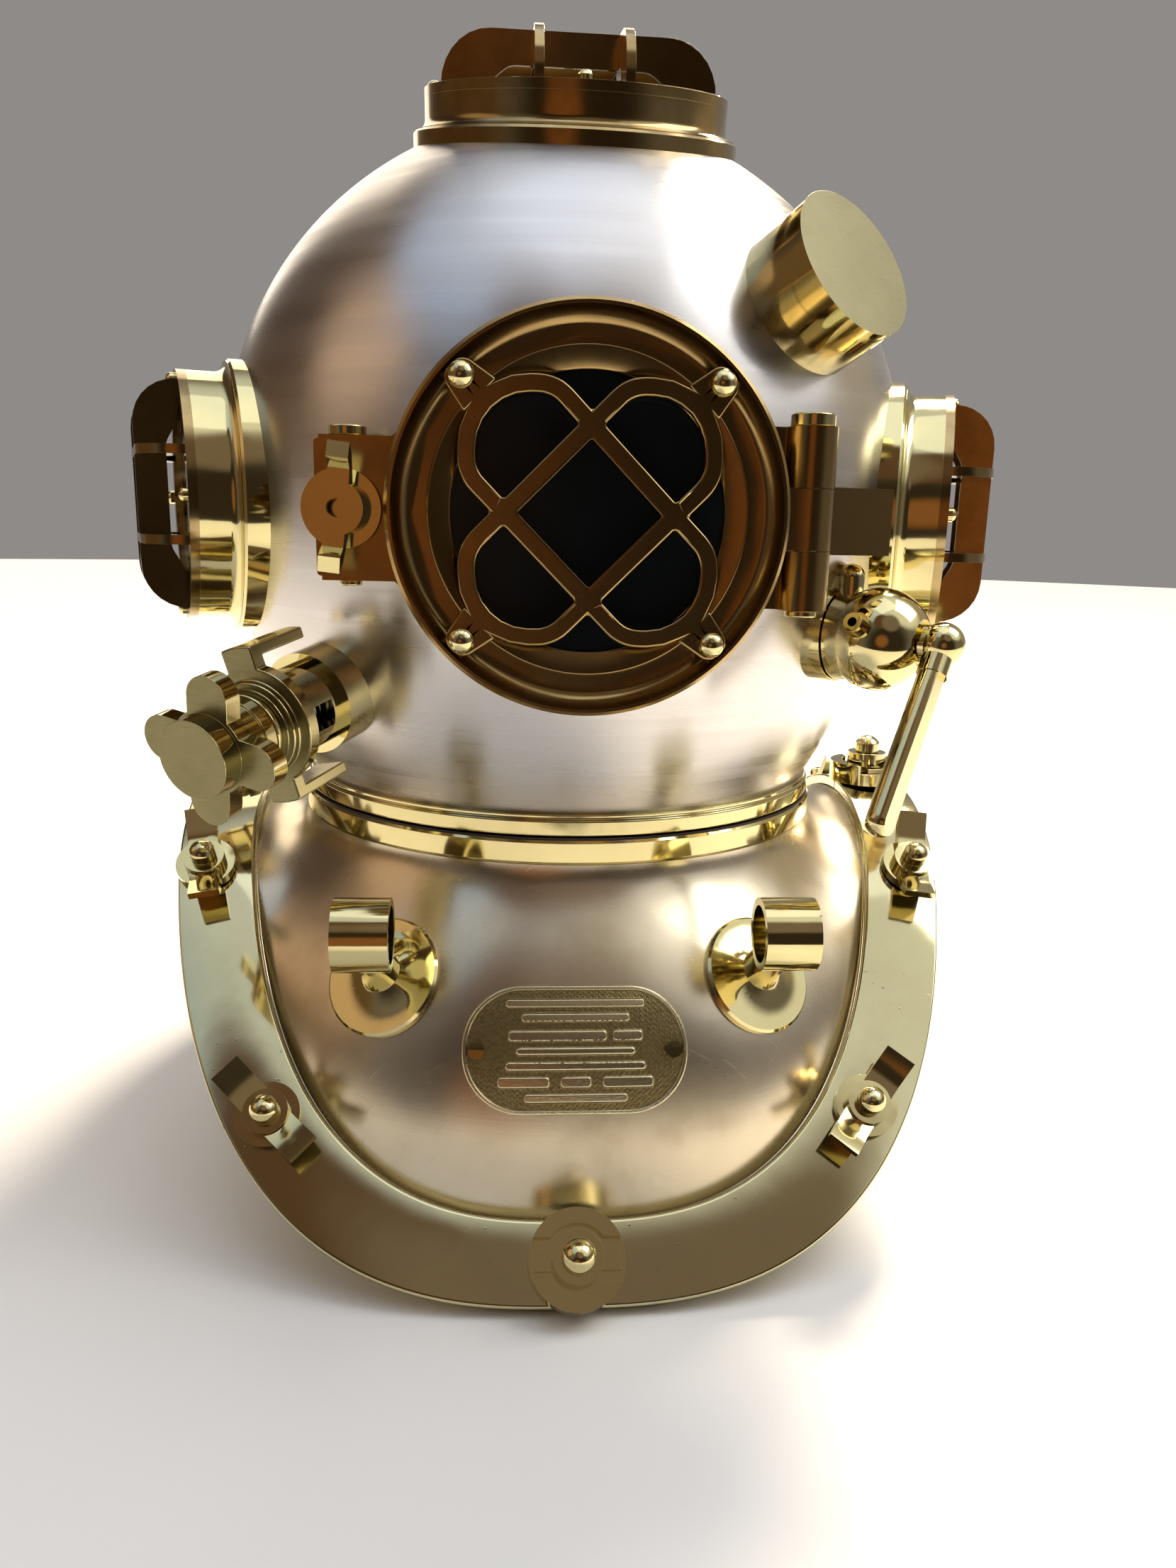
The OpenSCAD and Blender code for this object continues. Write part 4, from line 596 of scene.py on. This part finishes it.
# each hole: a point on its axis, the axis and the radius
holes = [((0, 0, DOOR_Z), direction(0, 0), 52.2),
         ((0, 0, SIDE_PORT_Z), direction(-71.5, 0), 43.2),
         ((0, 0, SIDE_PORT_Z), direction(71.5, 0), 43.2),
         (CENTRE, direction(0, 77.1), 55.2),
         (CENTRE, CUP_AXIS, 22.1),
         (EXHAUST_AT, EXHAUST_AXIS, 17.1),
         (SPITCOCK_AT, SPITCOCK_AXIS, 9.1),
         ((0, 0, ELBOW_Z), direction(150, 0), 9.6),
         ((0, 0, ELBOW_Z), direction(-150, 0), 9.6)]


def bonnet_skin(s, a, inset):
    """Points of the outer skin, or of the inner one at an inset, turned about the bonnet's axis."""
    radius, z = bonnet_profile(s, inset)
    return np.stack([radius * np.cos(a), radius * np.sin(a), z + 0 * a], -1)


def cut_holes(p, inset):
    """Moves the points that fall in a hole out to its rim, along the surface, and says which they were."""
    gone = np.zeros(p.shape[:2], bool)
    for at, d, hole_r in holes:
        rel = p - np.array(at)
        ahead = rel @ d
        side = rel - ahead[..., None] * d
        dist = np.linalg.norm(side, axis=-1)
        inside_hole = (dist < hole_r) & (ahead > (0 if abs(at[0]) < 1 else -60))
        side = side / np.maximum(dist, 1e-6)[..., None] * hole_r
        spot = np.array(at) + side + ahead[..., None] * d
        for _ in range(6):
            rho = np.hypot(spot[..., 0], spot[..., 1])
            rise = spot[..., 2] - BONNET_Z
            ball = np.sqrt(rho ** 2 + rise ** 2) - (BONNET_R - inset)
            bowl = np.sqrt((rho - BOWL_C) ** 2 + rise ** 2) - (BOWL_R - inset)
            off = np.where(rise > 0, ball, bowl)
            slant = np.maximum(np.abs((spot - CENTRE) @ d) / BONNET_R, 0.3)
            spot = spot - (0.9 * off / slant)[..., None] * d
        p = np.where(inside_hole[..., None], spot, p)
        gone |= inside_hole
    return p, gone


s = np.linspace(0, 0.995, 181)[None, :]
a = np.linspace(0, 2 * math.pi, 361)[:, None]
# the crown inside s = 0.995 lies in the top port's hole
outer, gone = cut_holes(bonnet_skin(s, a, 0.0), 0.0)
inner, _ = cut_holes(bonnet_skin(s, a, WALL), WALL)
n, m = gone.shape
i, j = np.meshgrid(np.arange(n - 1), np.arange(m - 1), indexing="ij")
corners = np.stack([i * m + j, (i + 1) * m + j, (i + 1) * m + j + 1, i * m + j + 1], -1).reshape(-1, 4)
corners = corners[~gone.ravel()[corners].all(1)]
first = n * m
skin_faces = np.concatenate([corners, first + corners[:, ::-1]])
# a side that only one face has is a rim: faces join it to the inner skin, but not at the meridian seam
sides = np.concatenate([corners[:, [k, (k + 1) % 4]] for k in range(4)])
code = np.sort(sides, 1) @ np.array([first, 1])
_, back, times = np.unique(code, return_inverse=True, return_counts=True)
rim_edges = sides[times[back] == 1]
rim_faces = np.stack([rim_edges[:, 1], rim_edges[:, 0], first + rim_edges[:, 0], first + rim_edges[:, 1]], 1)
row = rim_edges // m
seam = (row[:, 0] == row[:, 1]) & ((row[:, 0] == 0) | (row[:, 0] == n - 1))
faces = np.concatenate([skin_faces, rim_faces[~seam]])
mesh = bpy.data.meshes.new("bonnet")
mesh.vertices.add(2 * first)
mesh.vertices.foreach_set("co", (np.concatenate([outer, inner]).reshape(-1) * MM).astype(np.float32))
mesh.loops.add(faces.size)
mesh.loops.foreach_set("vertex_index", faces.reshape(-1).astype(np.int32))
mesh.polygons.add(len(faces))
mesh.polygons.foreach_set("loop_start", (np.arange(len(faces)) * 4).astype(np.int32))
mesh.update()
# the uv map is in metres: down the section and round the axis
spin = np.stack([np.broadcast_to(s * 0.42, (n, m)), np.broadcast_to(a * 0.15, (n, m))], -1).reshape(-1, 2)
spin = np.concatenate([spin, spin])[faces.reshape(-1)]
mesh.uv_layers.new(name="spin").data.foreach_set("uv", spin.reshape(-1).astype(np.float32))

# tinned copper, lathe brushed: satin silver; the brush marks are about 0.3 mm apart and are drawn 1 mm
# apart so that they show, and they stretch each highlight up and down the bonnet
tinned_brushed, t = new_material("tinned_copper_brushed")
here = add(t, "TexCoord", out=3)
spun = add(t, "UVMap", uv_map="spin")
lines = add(t, "TexNoise", {"Vector": add(t, "Mapping", {"Vector": spun, "Scale": (1000.0, 1.5, 1.0)}),
                            "Scale": 1.0, "Detail": 3.0, "Roughness": 0.6})
bands = add(t, "TexNoise", {"Vector": add(t, "Mapping", {"Vector": spun, "Scale": (120.0, 3.0, 1.0)}),
                            "Scale": 1.0, "Detail": 3.0})
clouds = add(t, "TexNoise", {"Vector": here, "Scale": 9.0, "Detail": 4.0, "Roughness": 0.55})
tint = add(t, "Mix", {0: clouds, 6: "#DAD6D2", 7: "#C9C5C1"}, 2, data_type="RGBA")
marks = add(t, "MapRange", {"Value": lines, "From Min": 0.3, "From Max": 0.7, "To Max": 0.1})
tint = add(t, "Mix", {0: marks, 6: tint, 7: "#B2ADA8"}, 2, data_type="RGBA")
rough = add(t, "MapRange", {"Value": bands, "From Min": 0.3, "From Max": 0.7,
                             "To Min": 0.24, "To Max": 0.33})
bump = add(t, "Bump", {"Height": clouds, "Strength": 0.12, "Distance": 0.002})
bump = add(t, "Bump", {"Height": lines, "Strength": 0.03, "Distance": 0.00006, "Normal": bump})
along = add(t, "Tangent", direction_type="UV_MAP", uv_map="spin")
add(t, "OutputMaterial", {"Surface": add(t, "BsdfPrincipled", {
    "Base Color": tint, "Metallic": 1.0, "Roughness": rough, "Normal": bump, "Anisotropic": 0.65,
    "Tangent": along})})

bonnet = put("bonnet_spun_shell", mesh, tinned_brushed, merge=4e-6)
finish_piece(bonnet, "bonnet", "tinned_copper", "bonnet_shell")

# Door frame. A brass casting soldered over the door opening, with two hinge knuckles, the hinge bracket
# and the lug for the latch; it has browned with age.
# cast bronze, tarnished: brown in clouds 50 mm across, fine sand grain under the polish
tarnished_bronze, t = new_material("tarnished_cast_bronze")
here = add(t, "TexCoord", out=3)
waves = add(t, "TexNoise", {"Vector": here, "Scale": 40.0, "Detail": 1.5})
clouds = add(t, "TexNoise", {"Vector": here, "Scale": 20.0, "Detail": 6.0, "Roughness": 0.65})
grains = add(t, "TexNoise", {"Vector": here, "Scale": 800.0, "Detail": 2.0})
brown = add(t, "MapRange", {"Value": clouds, "From Min": 0.35, "From Max": 0.65})
tint = add(t, "Mix", {0: brown, 6: "#A98E5C", 7: "#8F784E"}, 2, data_type="RGBA")
rough = add(t, "MapRange", {"Value": clouds, "From Min": 0.3, "From Max": 0.7,
                             "To Min": 0.13, "To Max": 0.26})
bump = add(t, "Bump", {"Height": waves, "Strength": 0.35, "Distance": 0.0005})
bump = add(t, "Bump", {"Height": grains, "Strength": 0.03, "Distance": 0.00004, "Normal": bump})
add(t, "OutputMaterial", {"Surface": add(t, "BsdfPrincipled", {
    "Base Color": tint, "Metallic": 1.0, "Roughness": rough, "Normal": bump})})

dress("door_frame", tarnished_bronze, edge=0.8, steps=3)
dress("hinge_and_latch_pins", polished_brass, edge=0.6, steps=3)
dress("latch_stud", polished_brass, edge=0.3)

# Ports. Turned brass frames soldered over holes in the bonnet, each with a leather washer, a plate
# glass disc, and a bezel whose crossed guard strips were sawn from plate, held by four screws.
# plate glass, opaque and painted nearly black: painted shade for the unlit inside of the bonnet seen through
# it, with faint smears 30 mm across
plate_glass, t = new_material("plate_glass")
here = add(t, "TexCoord", out=3)
smears = add(t, "TexNoise", {"Vector": here, "Scale": 35.0, "Detail": 4.0})
rough = add(t, "MapRange", {"Value": smears, "From Min": 0.4, "From Max": 0.8,
                             "To Min": 0.02, "To Max": 0.09})
# the near-black base colour is painted shade, standing in for the dark inside behind the glass
tint = add(t, "Mix", {0: smears, 6: "#0C1011", 7: "#12171A"}, 2, data_type="RGBA")
add(t, "OutputMaterial", {"Surface": add(t, "BsdfPrincipled", {
    "Base Color": tint, "Roughness": rough, "IOR": 1.52, "Specular IOR Level": 0.2})})

# turned brass, aged: browner than the polished castings, in clouds 40 mm across
aged_brass, t = new_material("aged_turned_brass")
here = add(t, "TexCoord", out=3)
waves = add(t, "TexNoise", {"Vector": here, "Scale": 35.0, "Detail": 1.5})
clouds = add(t, "TexNoise", {"Vector": here, "Scale": 25.0, "Detail": 6.0, "Roughness": 0.65})
brown = add(t, "MapRange", {"Value": clouds, "From Min": 0.4, "From Max": 0.65})
tint = add(t, "Mix", {0: brown, 6: "#B09A6C", 7: "#8C764C"}, 2, data_type="RGBA")
rough = add(t, "MapRange", {"Value": clouds, "From Min": 0.3, "From Max": 0.7,
                             "To Min": 0.1, "To Max": 0.2})
bump = add(t, "Bump", {"Height": waves, "Strength": 0.35, "Distance": 0.0005})
add(t, "OutputMaterial", {"Surface": add(t, "BsdfPrincipled", {
    "Base Color": tint, "Metallic": 1.0, "Roughness": rough, "Normal": bump})})

dress("side_port_left", polished_brass, edge=0.6, steps=3)
dress("side_port_right", polished_brass, edge=0.6, steps=3)
dress("top_port", aged_brass, edge=0.6, steps=3)
dress("guard_left", aged_brass, edge=0.5, steps=2)
dress("guard_right", aged_brass, edge=0.5, steps=2)
dress("guard_top", aged_brass, edge=0.5, steps=2)
dress("port_screws", polished_brass, edge=0)
dress("port_glasses", plate_glass, edge=0.4)
dress("port_gaskets", greased_leather, edge=0)

# Receiver cup. A spun brass cup over the telephone receiver, with a flat brushed face; the receiver is
# black moulded ebonite.
CUP_BRUSHED_FROM = 177
dress("receiver_cup", polished_brass, milled_brass, edge=1.2, steps=4,
      pick=lambda c, n: (n @ CUP_AXIS > 0.99) & ((c - CENTRE) @ CUP_AXIS > CUP_BRUSHED_FROM))

# ebonite: black hard rubber, moulded and slightly browned
ebonite, t = new_material("ebonite")
here = add(t, "TexCoord", out=3)
grain = add(t, "TexNoise", {"Vector": here, "Scale": 400.0, "Detail": 3.0})
tint = add(t, "Mix", {0: grain, 6: "#14110F", 7: "#1E1A17"}, 2, data_type="RGBA")
add(t, "OutputMaterial", {"Surface": add(t, "BsdfPrincipled", {"Base Color": tint, "Roughness": 0.35})})
dress("receiver", ebonite, edge=0.5)

# Exhaust valve. A turned body with a yoke of two prongs round it and a lobed handwheel, all polished
# brass but for the milled faces of yoke and wheel; disc, stem and chin button slide in it on a spring.
WHEEL_MILLED_FROM = 80
dress("exhaust_body", polished_brass, edge=0.5, steps=3)
dress("exhaust_yoke", polished_brass, milled_brass, edge=0.7, steps=3,
      pick=lambda c, n: n @ EXHAUST_AXIS > 0.97)
dress("exhaust_handwheel", polished_brass, milled_brass, edge=0.9, steps=3,
      pick=lambda c, n: (n @ EXHAUST_AXIS > 0.97) & ((c - EXHAUST_AT) @ EXHAUST_AXIS > WHEEL_MILLED_FROM))
dress("exhaust_stem", polished_brass, edge=0.4)


def coil(at, axis, radius, wire, start, length, turns):
    """Wire of round section wound on a helix: centre line at + axis z + radius (cos, sin), closed ends."""
    side = np.cross(axis, [0.0, 0.0, 1.0] if abs(axis[2]) < 0.9 else [0.0, 1.0, 0.0])
    side /= np.linalg.norm(side)
    across = np.cross(axis, side)
    q = np.linspace(0, 2 * math.pi * turns, int(40 * turns) + 1)[:, None]
    ends = np.clip(np.minimum(q, q[-1] - q) / (2 * math.pi), 0, 1)
    k = np.linspace(0, 2 * math.pi, 13)[None, :-1]
    out = radius + wire * np.cos(k)
    up = start + wire + q / q[-1] * (length - 2 * wire) + wire * np.sin(k) * (0.6 + 0.4 * ends)
    return (at + (out * np.cos(q))[..., None] * side + (out * np.sin(q))[..., None] * across
            + up[..., None] * axis)


# spring steel wire, 2 mm, drawn and oiled
spring_steel, t = new_material("spring_steel_wire")
here = add(t, "TexCoord", out=3)
grain = add(t, "TexNoise", {"Vector": here, "Scale": 600.0, "Detail": 3.0})
tint = add(t, "Mix", {0: grain, 6: "#8B8C8E", 7: "#6E6F72"}, 2, data_type="RGBA")
add(t, "OutputMaterial", {"Surface": add(t, "BsdfPrincipled", {
    "Base Color": tint, "Metallic": 1.0, "Roughness": 0.3})})

exhaust_coil = coil(EXHAUST_AT, EXHAUST_AXIS, radius=7.4, wire=1.1, start=26, length=25.5, turns=7)
spring = put("exhaust_spring_coil", grid_mesh("coil", exhaust_coil * MM, close_v=True, caps=True),
             spring_steel)
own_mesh(spring)
finish_piece(spring, "bonnet", "spring_steel", "exhaust_spring")

# Spitcock. A ball cock for fresh air and for a mouthful of water, turned and polished, with a forged
# quarter-turn lever.
dress("spitcock_body", polished_brass, edge=0.6, steps=3)
dress("spitcock_lever", polished_brass, edge=0.8, steps=3)

# Rear elbows. Cast brass elbows for air and telephone cable; a non-return valve hangs under the air
# elbow, with a disc on a spring in it and a hose thread at its end.
dress("air_elbow", polished_brass, edge=0.5)
dress("cable_elbow", polished_brass, edge=0.5)
dress("air_valve_body", polished_brass, edge=0.5)
dress("air_valve_disc", polished_brass, edge=0.3)

AIR_AT = np.array([91.0, 157.617, 239.5])
DOWN = np.array([0.0, 0.0, -1.0])
air_coil = coil(AIR_AT, DOWN, radius=7.4, wire=1.0, start=4.4, length=26.4, turns=7)
spring = put("air_valve_spring_coil", grid_mesh("coil", air_coil * MM, close_v=True, caps=True),
             spring_steel)
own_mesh(spring)
finish_piece(spring, "bonnet", "spring_steel", "air_valve_spring")

# Door. A cast dish with a turned lip, a rubber-bedded glass held by a screwed ring, and a cast guard of
# crossing bars on four domed screws. Its wing nut presses on the latch lug.
# moulded rubber: black, dull
rubber, t = new_material("moulded_rubber")
here = add(t, "TexCoord", out=3)
grain = add(t, "TexNoise", {"Vector": here, "Scale": 500.0, "Detail": 3.0})
tint = add(t, "Mix", {0: grain, 6: "#121212", 7: "#1C1B1A"}, 2, data_type="RGBA")
add(t, "OutputMaterial", {"Surface": add(t, "BsdfPrincipled", {"Base Color": tint, "Roughness": 0.6})})

dress("door_ring", tarnished_bronze, edge=0.5, steps=3)
dress("door_bezel", tarnished_bronze, edge=0.4)
# the guard's flat faces aren't joined: faces with so many corners would break under the bevel
dress("door_guard", tarnished_bronze, edge=1.0, steps=4, clamp=False, flat=0)
dress("door_glass", plate_glass, edge=0.3)
dress("door_gasket", rubber, edge=0)
dress("door_screws", polished_brass, edge=0)
dress("door_wing_nut", polished_brass, edge=0.7, steps=3)
